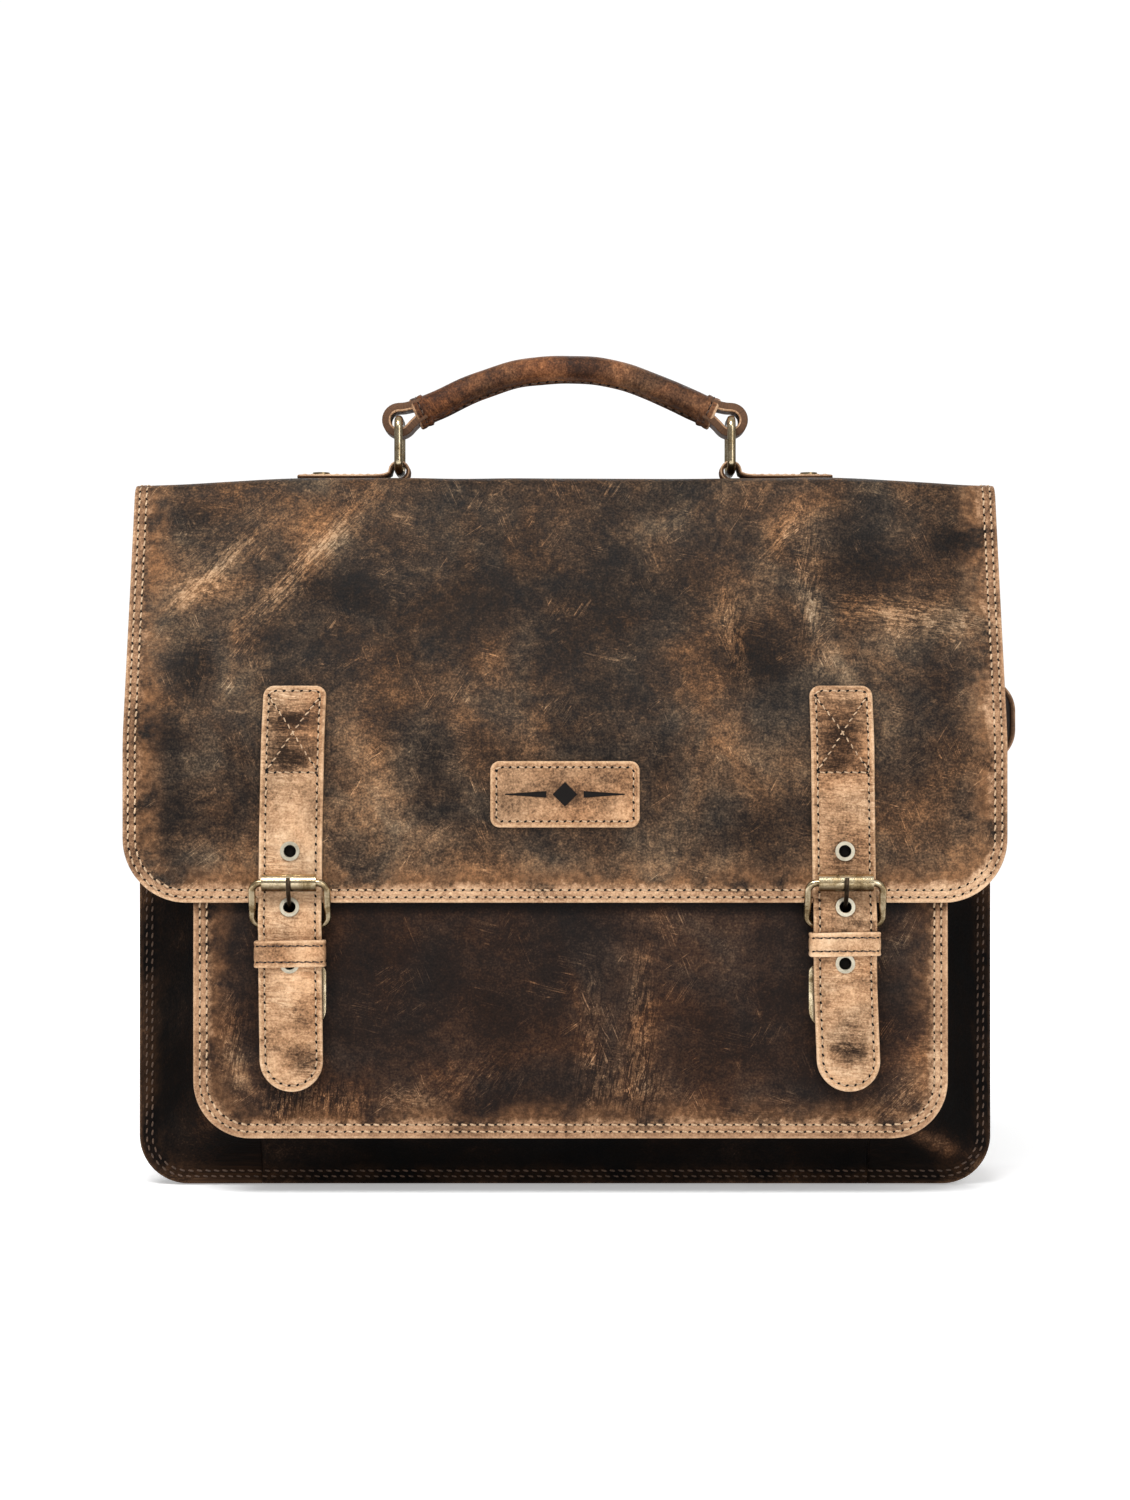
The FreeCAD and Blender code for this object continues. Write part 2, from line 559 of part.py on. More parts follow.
def make_side_loop(side, sign):
    """A bowed leather loop sewn to the side of the gusset, with a D-ring hanging in it."""
    body = new_body("side_loop")
    wall, bow = "(body_width/2 - rim)", "side_bow_" + side
    t, up, low = "side_thick", "side_top", "side_low"
    inner, span = bow + " - side_thick", "side_foot + side_flat + side_rise"
    middle_up, middle_low = "(%s - (%s))" % (up, span), "(%s + (%s))" % (low, span)
    path = [(t, up), (t, up + " - side_foot"), (bow, middle_up), (bow, middle_low),
            (t, low + " + side_foot"), (t, low),
            ("0", low), ("0", low + " + side_foot + side_thick/2"),
            (inner, middle_low + " + side_thick/2"), (inner, middle_up + " - side_thick/2"),
            ("0", up + " - side_foot - side_thick/2"), ("0", up)]
    corners = [("%d*(%s + %s)" % (sign, wall, px), pz) for px, pz in path]
    extrude(body, "XZ_Plane", "-(side_y + side_width/2)", corners, "side_width",
            {"side_bend": [2, 3], "side_bend - side_thick": [8, 9], "side_toe": [1, 4, 7, 10]})
    node(body, "side_loop_" + side)
    x, y, z = sign * size("ding_x"), size("side_y"), size("ding_z")
    half, drop = size("ding_half"), size("ding_drop")
    corners = [V(x, y - half, z), V(x, y + half, z), V(x, y + half, z - drop), V(x, y - half, z - drop)]
    bends = [size("ding_heel")] * 2 + [size("ding_corner")] * 2
    node(wire_tube(corners, bends, "ding_wire", True), "d_ring_" + side)


make_main_compartment()
make_pocket()
make_flap()
for side, sign in (("left", -1), ("right", 1)):
    x = "strap_%s_x" % side
    make_strap(side, x)
    make_clasp(side, x, -sign)
    make_chape(side, x)
    make_buckle(side, x)
    make_keeper(side, x)
    make_side_loop(side, sign)
make_handle()
doc.recompute()

faulty = [o.Name for o in doc.Objects if "Invalid" in o.State or "Error" in o.State]
if faulty:
    raise RuntimeError("objects that failed: %s" % faulty)
for item in NODES:
    if item.Shape.isNull() or not item.Shape.isValid():
        raise RuntimeError("no valid shape: " + item.Label)
os.makedirs("parts", exist_ok=True)
for item in NODES:
    item.Shape.exportStep("parts/%s.step" % item.Label)
print(len(NODES), "parts")
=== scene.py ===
import math

import bmesh
import bpy
import numpy as np
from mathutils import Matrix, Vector


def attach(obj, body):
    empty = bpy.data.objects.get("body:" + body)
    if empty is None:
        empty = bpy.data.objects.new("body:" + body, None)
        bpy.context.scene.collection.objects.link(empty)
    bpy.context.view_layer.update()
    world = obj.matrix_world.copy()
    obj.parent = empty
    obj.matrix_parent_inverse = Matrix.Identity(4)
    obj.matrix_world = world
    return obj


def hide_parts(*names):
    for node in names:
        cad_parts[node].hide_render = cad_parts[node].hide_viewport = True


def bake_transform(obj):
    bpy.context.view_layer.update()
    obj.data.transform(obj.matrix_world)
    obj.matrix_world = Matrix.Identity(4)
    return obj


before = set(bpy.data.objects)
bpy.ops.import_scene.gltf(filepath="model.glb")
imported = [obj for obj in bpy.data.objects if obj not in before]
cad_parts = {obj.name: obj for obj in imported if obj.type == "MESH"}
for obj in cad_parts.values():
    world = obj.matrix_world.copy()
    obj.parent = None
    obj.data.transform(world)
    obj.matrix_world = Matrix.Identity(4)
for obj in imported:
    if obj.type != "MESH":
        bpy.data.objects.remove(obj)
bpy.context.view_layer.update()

# A leather satchel. Lengths are in millimetres, and make_mesh turns them into metres.
# A sheet of leather follows a path in a plane, and s is the length along the path.
MM = 0.001
FLOOR = -2.0        # the floor: the script measures heights from 2 mm above it
SIDES = (("left", -1), ("right", 1))


# ---------------------------------------------------------------- procedural materials

class Tree:
    """Short calls for the shader nodes of a material or a world."""

    def __init__(self, tree):
        self.nodes, self.links = tree.nodes, tree.links

    def put(self, socket, value):
        """Links an output to a socket, or sets the socket's own value."""
        if isinstance(value, bpy.types.NodeSocket):
            self.links.new(value, socket)
        elif value is not None:
            socket.default_value = value

    def node(self, kind, inputs=None, **settings):
        """A new node with its settings, and its inputs by name or number."""
        node = self.nodes.new("ShaderNode" + kind)
        for name, value in settings.items():
            setattr(node, name, value)
        for key, value in (inputs or {}).items():
            self.put(node.inputs[key], value)
        return node

    def attribute(self, name, vector=False):
        return self.node("Attribute", attribute_name=name).outputs["Vector" if vector else "Fac"]

    def place(self, vector, size=(1, 1), turn=0.0, shift=(0, 0)):
        """Coordinates seen along a line turned by an angle, in units of size along and across it."""
        inputs = {"Vector": vector, "Scale": (*size, 1), "Rotation": (0, 0, math.radians(turn)),
                  "Location": (*shift, 0)}
        return self.node("Mapping", inputs, vector_type="TEXTURE").outputs[0]

    def parts(self, vector):
        return self.node("SeparateXYZ", {0: vector}).outputs

    def noise(self, vector, scale, detail=4, rough=0.55, distortion=0.0):
        inputs = {"Vector": vector, "Scale": scale, "Detail": detail, "Roughness": rough,
                  "Distortion": distortion}
        return self.node("TexNoise", inputs).outputs["Fac"]

    def wave(self, vector, scale, distortion=0.0):
        return self.node("TexWave",
                         {"Vector": vector, "Scale": scale, "Distortion": distortion}).outputs["Fac"]

    def math(self, kind, a, b=0.0, c=0.0):
        return self.node("Math", {0: a, 1: b, 2: c}, operation=kind).outputs[0]

    def span(self, value, low, high, to_low=0.0, to_high=1.0, kind="SMOOTHSTEP"):
        """Carries the range from low to high over to the range from to_low to to_high."""
        inputs = {"Value": value, "From Min": low, "From Max": high, "To Min": to_low, "To Max": to_high}
        return self.node("MapRange", inputs, interpolation_type=kind).outputs[0]

    def ramp(self, value, stops):
        node = self.node("ValToRGB", {0: value})
        elements = node.color_ramp.elements
        while len(elements) < len(stops):
            elements.new(0.5)
        for element, (position, colour) in zip(elements, stops):
            element.position = position
            element.color = (*colour, 1)
        return node.outputs[0]

    def mix(self, share, a, b, kind="MIX"):
        a, b = ((*colour, 1) if isinstance(colour, tuple) else colour for colour in (a, b))
        return self.node("Mix", {0: share, 6: a, 7: b}, data_type="RGBA", blend_type=kind).outputs[2]

    def bump(self, height, distance, strength):
        inputs = {"Height": height, "Distance": distance, "Strength": strength}
        return self.node("Bump", inputs).outputs[0]


class Material(Tree):
    """The nodes of one new material."""

    def __init__(self, name):
        self.material = bpy.data.materials.new(name)
        self.material.use_nodes = True
        super().__init__(self.material.node_tree)
        self.nodes.clear()
        self.shader = self.node("BsdfPrincipled")
        self.put(self.node("OutputMaterial").inputs[0], self.shader.outputs[0])

    def finish(self, colour, roughness, normal=None, **fixed):
        for name, value in (("Base Color", colour), ("Roughness", roughness), ("Normal", normal)):
            self.put(self.shader.inputs[name], value)
        for name, value in fixed.items():
            self.shader.inputs[name.replace("_", " ")].default_value = value
        return self.material


AMBER = (0.27, 0.125, 0.054)      # the hide's own colour where the wax begins to thin
CREASE_TURNS = (48, -4, 80)       # degrees, anticlockwise from the right as seen from the front
SCRATCH_TURNS = (14, 68, 122, -35)


def leather(name, stops, edge_stops, edge_width, seed=0.0, mottle=1.0, grain=1.0, tone_share=1.0,
            scratches=1.0, shine=0.1, halo=0.0, level=0.45, warmth=0.85, on_solid=False):
    """Waxed pull-up leather: mottled, creased and scratched, and worn lighter towards its edges.

    The vertex attributes are lp (place on the hide in metres, the second figure growing downwards), ed
    (distance from the edge in millimetres), tone (lighter or darker) and cr (how strongly it is creased
    along each of the three CREASE_TURNS). A CAD solid has none of them and is placed by its own space.
    """
    t = Material(name)
    where = t.node("TexCoord").outputs["Object"] if on_solid else t.attribute("lp", True)
    base = t.place(where, shift=(seed, seed * 0.7))
    large, blotch = t.noise(base, 11, 4, 0.55, 0.5), t.noise(base, 38, 8, 0.70, 0.25)
    fine, speck = t.noise(base, 300, 5, 0.72), t.noise(base, 1000, 2, 0.6)
    pores = t.node("TexVoronoi", {"Vector": base, "Scale": 950}).outputs["Distance"]
    relief = t.math("MULTIPLY_ADD", fine, 0.6, t.math("MULTIPLY", pores, 0.5))
    value = level
    layers = ((large, 0.65 * mottle), (blotch, 0.85 * mottle), (fine, 0.60 * grain), (speck, 0.50 * grain))
    for layer, amount in layers:
        value = t.math("MULTIPLY_ADD", layer, amount, t.math("SUBTRACT", value, amount / 2))
    if not on_solid:
        value = t.math("MULTIPLY_ADD", t.attribute("tone"), tone_share, value)
        for i, (turn, mask) in enumerate(zip(CREASE_TURNS, t.parts(t.attribute("cr", True)))):
            lines = t.noise(t.place(base, (0.013, 0.0017), -turn, (i, 0)), 1, 4, 0.62, 1.2)
            ridge = t.math("MULTIPLY", t.span(lines, 0.43, 0.62, -0.5, 0.7), mask)
            crack = t.span(t.math("ABSOLUTE", t.math("SUBTRACT", lines, 0.52)), 0.028, 0.004)
            crack = t.math("MULTIPLY", t.math("MULTIPLY", crack, mask), t.span(fine, 0.36, 0.52))
            value = t.math("MULTIPLY_ADD", crack, 0.34, t.math("MULTIPLY_ADD", ridge, 0.20, value))
            relief = t.math("MULTIPLY_ADD", ridge, 0.9, relief)

    # scratches: a few long thin light marks at several angles
    marks = 0.0
    for i, turn in enumerate(SCRATCH_TURNS):
        streak = t.noise(t.place(base, (0.060, 0.0016), turn, (i * 2.3, i)), 1, 1, 0.5, 0.7)
        gate = t.span(t.noise(t.place(base, (0.026, 0.022), turn, (i, 5)), 1, 2), 0.58, 0.66)
        mark = t.span(t.math("ABSOLUTE", t.math("SUBTRACT", streak, 0.5)), 0.012, 0.0)
        marks = t.math("MAXIMUM", marks, t.math("MULTIPLY", mark, gate))
    value = t.math("MULTIPLY_ADD", marks, 0.26 * scratches, value)
    tint = t.ramp(t.noise(base, 21, 4, 0.6, 0.6), [(0.36, (0.84, 1.0, 1.14)), (0.64, (1.20, 0.99, 0.80))])
    colour = t.mix(warmth, t.ramp(value, stops), tint, "MULTIPLY")
    if not on_solid:
        edge = t.attribute("ed")
        if halo:
            near = t.math("MULTIPLY", t.span(edge, 2.9 * edge_width, 0.9 * edge_width),
                          t.span(blotch, 0.38, 0.58))
            warm = t.mix(t.span(fine, 0.38, 0.62), tuple(c * 0.45 for c in AMBER), AMBER)
            colour = t.mix(t.math("MULTIPLY", near, halo), colour, warm)
        # the wax wears off towards the edge, unevenly
        ragged = t.math("MULTIPLY", edge, -1.0)
        for layer, amount in ((blotch, 2.2), (fine, 0.9)):
            ragged = t.math("MULTIPLY_ADD", t.math("SUBTRACT", layer, 0.5), edge_width * amount, ragged)
        worn = t.span(ragged, -edge_width * 1.25, -edge_width * 0.55)
        rim = t.math("MULTIPLY_ADD", t.span(edge, 1.6, 0.3), 0.16, value)
        colour = t.mix(t.math("MULTIPLY", worn, 0.92), colour, t.ramp(rim, edge_stops))
    gloss = t.math("MULTIPLY_ADD", fine, 0.6, t.math("MULTIPLY", blotch, 0.6))
    return t.finish(colour, t.span(gloss, 0.42, 0.78, 0.5, 0.8), t.bump(relief, 0.00035, 0.9),
                    Specular_IOR_Level=shine)


def plain_leather(name, dark, light, rough=0.8, scale=900):
    """Suede or raw cut leather."""
    t = Material(name)
    base = t.attribute("lp", True)
    value = t.math("MULTIPLY_ADD", t.noise(base, scale, 3, 0.7), 0.6,
                   t.math("MULTIPLY", t.noise(base, 40, 4), 0.4))
    return t.finish(t.ramp(value, [(0.3, dark), (0.7, light)]), rough, t.bump(value, 0.00025, 0.8),
                    Specular_IOR_Level=0.25)


def canvas(name, dark, light):
    """A plain weave of about one thread each millimetre."""
    t = Material(name)
    base = t.attribute("lp", True)
    weave = t.math("MULTIPLY", *(t.wave(t.place(base, turn=turn), 320, 0.6) for turn in (0, 90)))
    value = t.math("MULTIPLY_ADD", t.noise(base, 60, 5), 0.5, t.math("MULTIPLY", weave, 0.5))
    return t.finish(t.ramp(value, [(0.15, dark), (0.75, light)]), 0.9, t.bump(weave, 0.0003, 0.7),
                    Sheen_Weight=0.15)


def thread(name, dark, light):
    """Waxed thread with its twist."""
    t = Material(name)
    base = t.attribute("lp", True)
    twist = t.wave(t.place(base, turn=40), 700)
    value = t.math("MULTIPLY_ADD", t.noise(base, 300, 3), 0.6, t.math("MULTIPLY", twist, 0.4))
    return t.finish(t.ramp(value, [(0.3, dark), (0.7, light)]), 0.6, t.bump(twist, 0.0001, 0.6))


def metal(name, stops, rough, spread=1.0):
    """Plated metal with tarnish in its hollows, painted shade on its undersides, and polished high spots."""
    t = Material(name)
    place_on = t.node("TexCoord").outputs
    cloud, fine = t.noise(place_on["Object"], 150, 5, 0.6, 0.5), t.noise(place_on["Object"], 1200, 3, 0.6)
    value = t.math("MULTIPLY_ADD", cloud, 0.75 * spread, 0.55 * (1 - spread))
    value = t.math("MULTIPLY_ADD", fine, 0.35 * spread, value)
    # painted shade: the colour darkens to a dark brown on faces that turn downwards
    facing_up = t.span(t.parts(place_on["Normal"])["Z"], -0.75, 0.35)
    shade = t.mix(facing_up, (0.12, 0.10, 0.08), (1.0, 1.0, 1.0))
    colour = t.mix(1.0, t.ramp(value, stops), shade, "MULTIPLY")
    return t.finish(colour, t.span(value, 0.38, 0.7, *rough), t.bump(fine, 0.00004, 0.5), Metallic=1.0)


HIDE = [(0.10, (0.0045, 0.0035, 0.0032)), (0.30, (0.0165, 0.0110, 0.0080)), (0.45, (0.046, 0.0285, 0.018)),
        (0.60, (0.120, 0.070, 0.039)), (0.76, (0.27, 0.155, 0.082)), (0.94, (0.52, 0.34, 0.20))]
POCKET = [(0.12, (0.0045, 0.0030, 0.0026)), (0.34, (0.0150, 0.0085, 0.0060)),
          (0.50, (0.040, 0.0215, 0.0135)),
          (0.65, (0.110, 0.059, 0.032)), (0.80, (0.26, 0.145, 0.076)), (0.96, (0.50, 0.31, 0.18))]
DARK = [(0.15, (0.0012, 0.0009, 0.0008)), (0.40, (0.0040, 0.0026, 0.0020)), (0.58, (0.0120, 0.0068, 0.0045)),
        (0.76, (0.050, 0.027, 0.016)), (0.94, (0.19, 0.105, 0.058))]
TAN = [(0.05, (0.022, 0.012, 0.007)), (0.24, (0.115, 0.061, 0.032)), (0.42, (0.34, 0.190, 0.100)),
       (0.58, (0.56, 0.345, 0.197)), (0.85, (0.80, 0.560, 0.360))]
RUSSET = [(0.10, (0.010, 0.0055, 0.0035)), (0.32, (0.042, 0.0175, 0.0085)), (0.50, (0.125, 0.053, 0.024)),
          (0.68, (0.27, 0.125, 0.058)), (0.88, (0.47, 0.25, 0.130))]
WORN = [(0.12, (0.055, 0.029, 0.016)), (0.36, (0.215, 0.115, 0.061)), (0.58, (0.45, 0.265, 0.150)),
        (0.86, (0.74, 0.50, 0.31))]
WORN_DARK = [(0.15, (0.0045, 0.0026, 0.0018)), (0.45, (0.028, 0.0145, 0.0085)),
             (0.70, (0.120, 0.064, 0.034)),
             (0.92, (0.33, 0.195, 0.110))]
BRASS = [(0.38, (0.16, 0.105, 0.050)), (0.5, (0.46, 0.345, 0.190)), (0.62, (0.84, 0.70, 0.47))]
PALE = [(0.34, (0.30, 0.25, 0.17)), (0.6, (0.76, 0.69, 0.54))]
# the prong's metal: darker than the brass, partly its own darker finish and partly painted shade
PRONG_DARK_AND_SHADE = [(0.34, (0.020, 0.015, 0.011)), (0.66, (0.12, 0.085, 0.055))]

MATERIALS = {
    "hide": leather("hide", HIDE, WORN, 7.4, 0.0, 0.95, 1.25, 0.70, 1.2, halo=0.75, level=0.445),
    "pocket_hide": leather("pocket_hide", POCKET, WORN, 7.4, 2.1, 0.75, 1.0, 0.52, 1.2, halo=0.55,
                           level=0.41),
    "back_hide": leather("back_hide", HIDE, WORN_DARK, 6.0, 4.7, 1.1, 1.2, 0.8, level=0.41),
    "dark_hide": leather("dark_hide", DARK, WORN_DARK, 4.2, 7.9, 1.0, 0.9, 1.0, 0.5, shine=0.05, halo=0.12),
    "tan_hide": leather("tan_hide", TAN, TAN, 2.0, 3.3, 0.7, 1.0, 0.85, 0.4, level=0.455, warmth=0.4),
    "russet_hide": leather("russet_hide", RUSSET, WORN, 1.0, 5.5, 0.9, 1.1, 0.9, 0.6, shine=0.15,
                           level=0.43),
    "chape_hide": leather("chape_hide", TAN, TAN, 3.0, 1.3, 0.5, 0.7, on_solid=True, level=0.4),
    "suede": plain_leather("suede", (0.10, 0.068, 0.045), (0.22, 0.155, 0.105)),
    "cut_edge": plain_leather("cut_edge", (0.085, 0.048, 0.027), (0.30, 0.18, 0.10), 0.65, 1600),
    "russet_edge": plain_leather("russet_edge", (0.022, 0.010, 0.005), (0.150, 0.070, 0.032), 0.65, 1600),
    "dark_edge": plain_leather("dark_edge", (0.010, 0.006, 0.004), (0.060, 0.034, 0.020), 0.65, 1600),
    # near-black: the needle holes and the patch's stamped mark, and painted shade behind the eyelets
    "hole": plain_leather("hole", (0.0015, 0.001, 0.001), (0.006, 0.004, 0.003), 0.9),
    "canvas": canvas("canvas", (0.125, 0.092, 0.056), (0.35, 0.265, 0.165)),
    "thread": thread("thread", (0.24, 0.14, 0.075), (0.76, 0.53, 0.33)),
    "dark_thread": thread("dark_thread", (0.016, 0.0085, 0.005), (0.135, 0.072, 0.040)),
    "brass": metal("antique_brass", BRASS, (0.32, 0.16), 0.8),
    "eyelet_metal": metal("eyelet_metal", PALE, (0.45, 0.30), 0.6),
    "prong_metal": metal("prong_metal", PRONG_DARK_AND_SHADE, (0.5, 0.3)),
}
RUSSET_STRIP = ("russet_hide", "russet_edge", "russet_edge")     # face, back and edges


# ---------------------------------------------------------------- mesh helpers

def value_noise(x, y, cell, seed):
    """Smooth noise from -1 to 1 on a lattice of the given cell size, the same on each run."""
    def corner(i, j):
        n = np.sin(i * 127.1 + j * 311.7 + seed * 74.7) * 43758.5453
        return (n - np.floor(n)) * 2 - 1
    gx, gy = np.asarray(x, float) / cell, np.asarray(y, float) / cell
    i, j = np.floor(gx), np.floor(gy)
    u, v = gx - i, gy - j
    u, v = u * u * (3 - 2 * u), v * v * (3 - 2 * v)
    low = corner(i, j) * (1 - u) + corner(i + 1, j) * u
    high = corner(i, j + 1) * (1 - u) + corner(i + 1, j + 1) * u
    return low * (1 - v) + high * v


def smooth(x, low, high):
    """Smoothstep from 0 at low to 1 at high."""
    t = np.clip((np.asarray(x, float) - low) / (high - low), 0, 1)
    return t * t * (3 - 2 * t)


def bell(x, width):
    """A soft ridge of height 1 at x = 0."""
    return np.exp(-(x / width) ** 2)


def groove(distance, rows, depth=0.35, width=0.75):
    """How far stitching pulls the face in along lines at fixed distances from the edge."""
    return -sum(depth * bell(distance - row, width) for row in rows)


def blobs(x, y, spots):
    """The sum of soft round or slanted spots: (x, y, width, height, turn in degrees, strength)."""
    total = np.zeros_like(np.asarray(x, float))
    for cx, cy, a, b, turn, strength in spots:
        c, s = math.cos(math.radians(turn)), math.sin(math.radians(turn))
        u, v = (x - cx) * c + (y - cy) * s, -(x - cx) * s + (y - cy) * c
        total = total + strength * np.exp(-(u / a) ** 2 - (v / b) ** 2)
    return total


def unit(vectors):
    return vectors / np.maximum(np.linalg.norm(vectors, axis=-1, keepdims=True), 1e-9)


def lengths_along(dots):
    """The length of a line of points from its start to each point."""
    return np.r_[0, np.cumsum(np.linalg.norm(np.diff(dots, axis=0), axis=1))]


def make_mesh(name, points, faces, materials, face_material=None, merge=0.0, **attributes):
    """A smooth-shaded mesh object with its vertex attributes; points closer than merge become one."""
    mesh = bpy.data.meshes.new(name)
    points = (np.asarray(points, float) - (0, 0, FLOOR)) * MM
    mesh.from_pydata([tuple(p) for p in points], [], faces)
    for kind in materials:
        mesh.materials.append(MATERIALS[kind])
    if face_material is not None:
        mesh.polygons.foreach_set("material_index", face_material)
    count = len(mesh.vertices)
    attributes = {"tone": np.zeros(count), "ed": np.full(count, 99.0), "cr": np.zeros((count, 3)),
                  **attributes}
    for key, values in attributes.items():
        values = np.asarray(values, np.float32)
        vector = values.ndim == 2
        layer = mesh.attributes.new(key, "FLOAT_VECTOR" if vector else "FLOAT", "POINT")
        layer.data.foreach_set("vector" if vector else "value", values.ravel())
    work = bmesh.new()
    work.from_mesh(mesh)
    if merge:
        bmesh.ops.remove_doubles(work, verts=work.verts, dist=merge * MM)
    bmesh.ops.delete(work, geom=[v for v in work.verts if not v.link_faces], context="VERTS")
    bmesh.ops.recalc_face_normals(work, faces=work.faces)
    work.to_mesh(mesh)
    work.free()
    mesh.shade_smooth()
    item = bpy.data.objects.new(name, mesh)
    bpy.context.scene.collection.objects.link(item)
    return item


def place(item, body, slot, *nodes):
    """Puts a finished piece on its body and hides the CAD nodes it stands for."""
    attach(item, body)
    return describe(item, slot, *nodes)


def bend(item, bodies, fold, slot, *nodes):
    """Bakes a finished piece's placement into its mesh and hides the CAD nodes it stands for."""
    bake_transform(item)
    return describe(item, slot, *nodes)


def describe(item, slot, *nodes):
    if nodes:
        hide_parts(*nodes)
    return item


def join(name, items):
    """Joins mesh objects into one."""
    bpy.ops.object.select_all(action="DESELECT")
    for item in items:
        item.select_set(True)
    bpy.context.view_layer.objects.active = items[0]
    bpy.ops.object.join()
    items[0].name = items[0].data.name = name
    return items[0]


def grid_faces(index, close_rows=False, close_columns=False):
    """The faces between neighbours in a grid of point numbers, which may close on itself."""
    if close_rows:
        index = np.concatenate([index, index[:1]])
    if close_columns:
        index = np.concatenate([index, index[:, :1]], 1)
    corners = [index[:-1, :-1], index[:-1, 1:], index[1:, 1:], index[1:, :-1]]
    return np.stack(corners, -1).reshape(-1, 4).tolist()


def grid_mesh(name, points, faces, kinds, u, v, shift, tone, edge=99.0, face_material=None):
    """A mesh through a grid of points, with its places (u, v) on the hide, tone and edge distance."""
    shape = points.shape[:2]
    places = np.zeros((*shape, 3))
    places[..., 0] = u * MM + shift[0]
    places[..., 1] = v * MM + shift[1]
    tone, edge = (np.broadcast_to(values, shape).reshape(-1) for values in (tone, edge))
    return make_mesh(name, points.reshape(-1, 3), faces, kinds, face_material, lp=places.reshape(-1, 3),
                     tone=tone, ed=edge)


def prisms(name, outlines, near, far):
    """Small dark flat shapes, each an outline in X-Z that reaches from depth near to depth far."""
    points, faces = [], []
    for outline in outlines:
        start, n = len(points), len(outline)
        points += [(x, y, z) for y in (near, far) for x, z in outline]
        faces += [[start + i for i in range(n)], [start + n + i for i in range(n)][::-1]]
        faces += [[start + i, start + (i + 1) % n, start + n + (i + 1) % n, start + n + i] for i in range(n)]
    return make_mesh(name, points, faces, ("hole",))


class Path:
    """A plane curve of straight runs with rounded corners, by its length from the start."""

    def __init__(self, points, radii=None, step=0.5):
        points = [np.array(p, float) for p in points]
        radii = radii or [0] * len(points)
        dots = [points[0]]
        for corner, radius, last, following in zip(points[1:-1], radii[1:-1], points, points[2:]):
            before, after = unit(last - corner), unit(following - corner)
            half = math.acos(np.clip(before @ after, -1, 1)) / 2
            trim = radius / math.tan(half)
            middle = corner + unit(before + after) * radius / math.sin(half)
            a, b = corner + before * trim - middle, corner + after * trim - middle
            turn = math.pi - 2 * half
            sign = 1 if a[0] * b[1] - a[1] * b[0] > 0 else -1
            count = int(turn * radius / step) + 2
            for k in range(count + 1):
                c, s = math.cos(sign * turn * k / count), math.sin(sign * turn * k / count)
                dots.append(middle + (a[0] * c - a[1] * s, a[0] * s + a[1] * c))
        dots.append(points[-1])
        self.set_dots(np.array(dots), step)

    @classmethod
    def through(cls, dots, blur, step=0.4):
        """A curve near the dots, its corners softened over about blur millimetres."""
        path = cls.__new__(cls)
        path.set_dots(np.array(dots, float), step)
        count = int(3 * blur / step)
        kernel = bell(np.arange(-count, count + 1) * step, blur)
        p = path.p
        ends = np.concatenate([2 * p[:1] - p[count:0:-1], p, 2 * p[-1:] - p[-2:-count - 2:-1]])
        soft = [np.convolve(ends[:, k], kernel / kernel.sum(), "valid") for k in (0, 1)]
        path.set_dots(np.stack(soft, 1), step)
        return path

    def set_dots(self, dots, step):
        lengths = lengths_along(dots)
        keep = np.r_[True, np.diff(lengths) > 1e-6]
        dots, lengths = dots[keep], lengths[keep]
        self.length = lengths[-1]
        self.s = np.linspace(0, self.length, int(self.length / step) + 2)
        self.p = np.stack([np.interp(self.s, lengths, dots[:, k]) for k in (0, 1)], 1)
        self.way = unit(np.gradient(self.p, self.s, axis=0))

    def at(self, s):
        """Points and directions at lengths s."""
        point, way = (np.stack([np.interp(s, self.s, line[:, k]) for k in (0, 1)],
                               -1) for line in (self.p, self.way))
        return point, unit(way)

    def height(self, s):
        """The second coordinate at lengths s."""
        return np.interp(s, self.s, self.p[:, 1])

    def find(self, height):
        """The length at which the path first comes nearest to a height."""
        return self.s[np.argmin(np.abs(self.p[:, 1] - height))]


def surface_line(path, x, s, height, out=1, drop=None, centre=0.0, order=(0, 1, 2), lean=None):
    """Points and normals of places (x, s) that lie height above a path's surface."""
    x, s = np.asarray(x, float), np.asarray(s, float)
    point, way = path.at(s)
    normal = np.stack([way[..., 1], -way[..., 0]], -1) * out
    v, w = point[..., 0] + normal[..., 0] * height, point[..., 1] + normal[..., 1] * height
    if drop is not None:
        w = w - drop(x, s)
    slide = 0 if lean is None else lean(s)
    points = np.stack([x + centre + slide, v, w], -1)
    normals = np.stack([np.zeros_like(v), normal[..., 0], normal[..., 1]], -1)
    axes = np.argsort(order)
    return points[..., axes], normals[..., axes]


# ---------------------------------------------------------------- stitching

SLANT = 0.26        # how far each stitch runs across its row
# pitch, gap between stitches, half width and height of the thread
HEAVY, LIGHT = (4.0, 0.9, 0.46, 0.32), (3.6, 0.8, 0.34, 0.3)


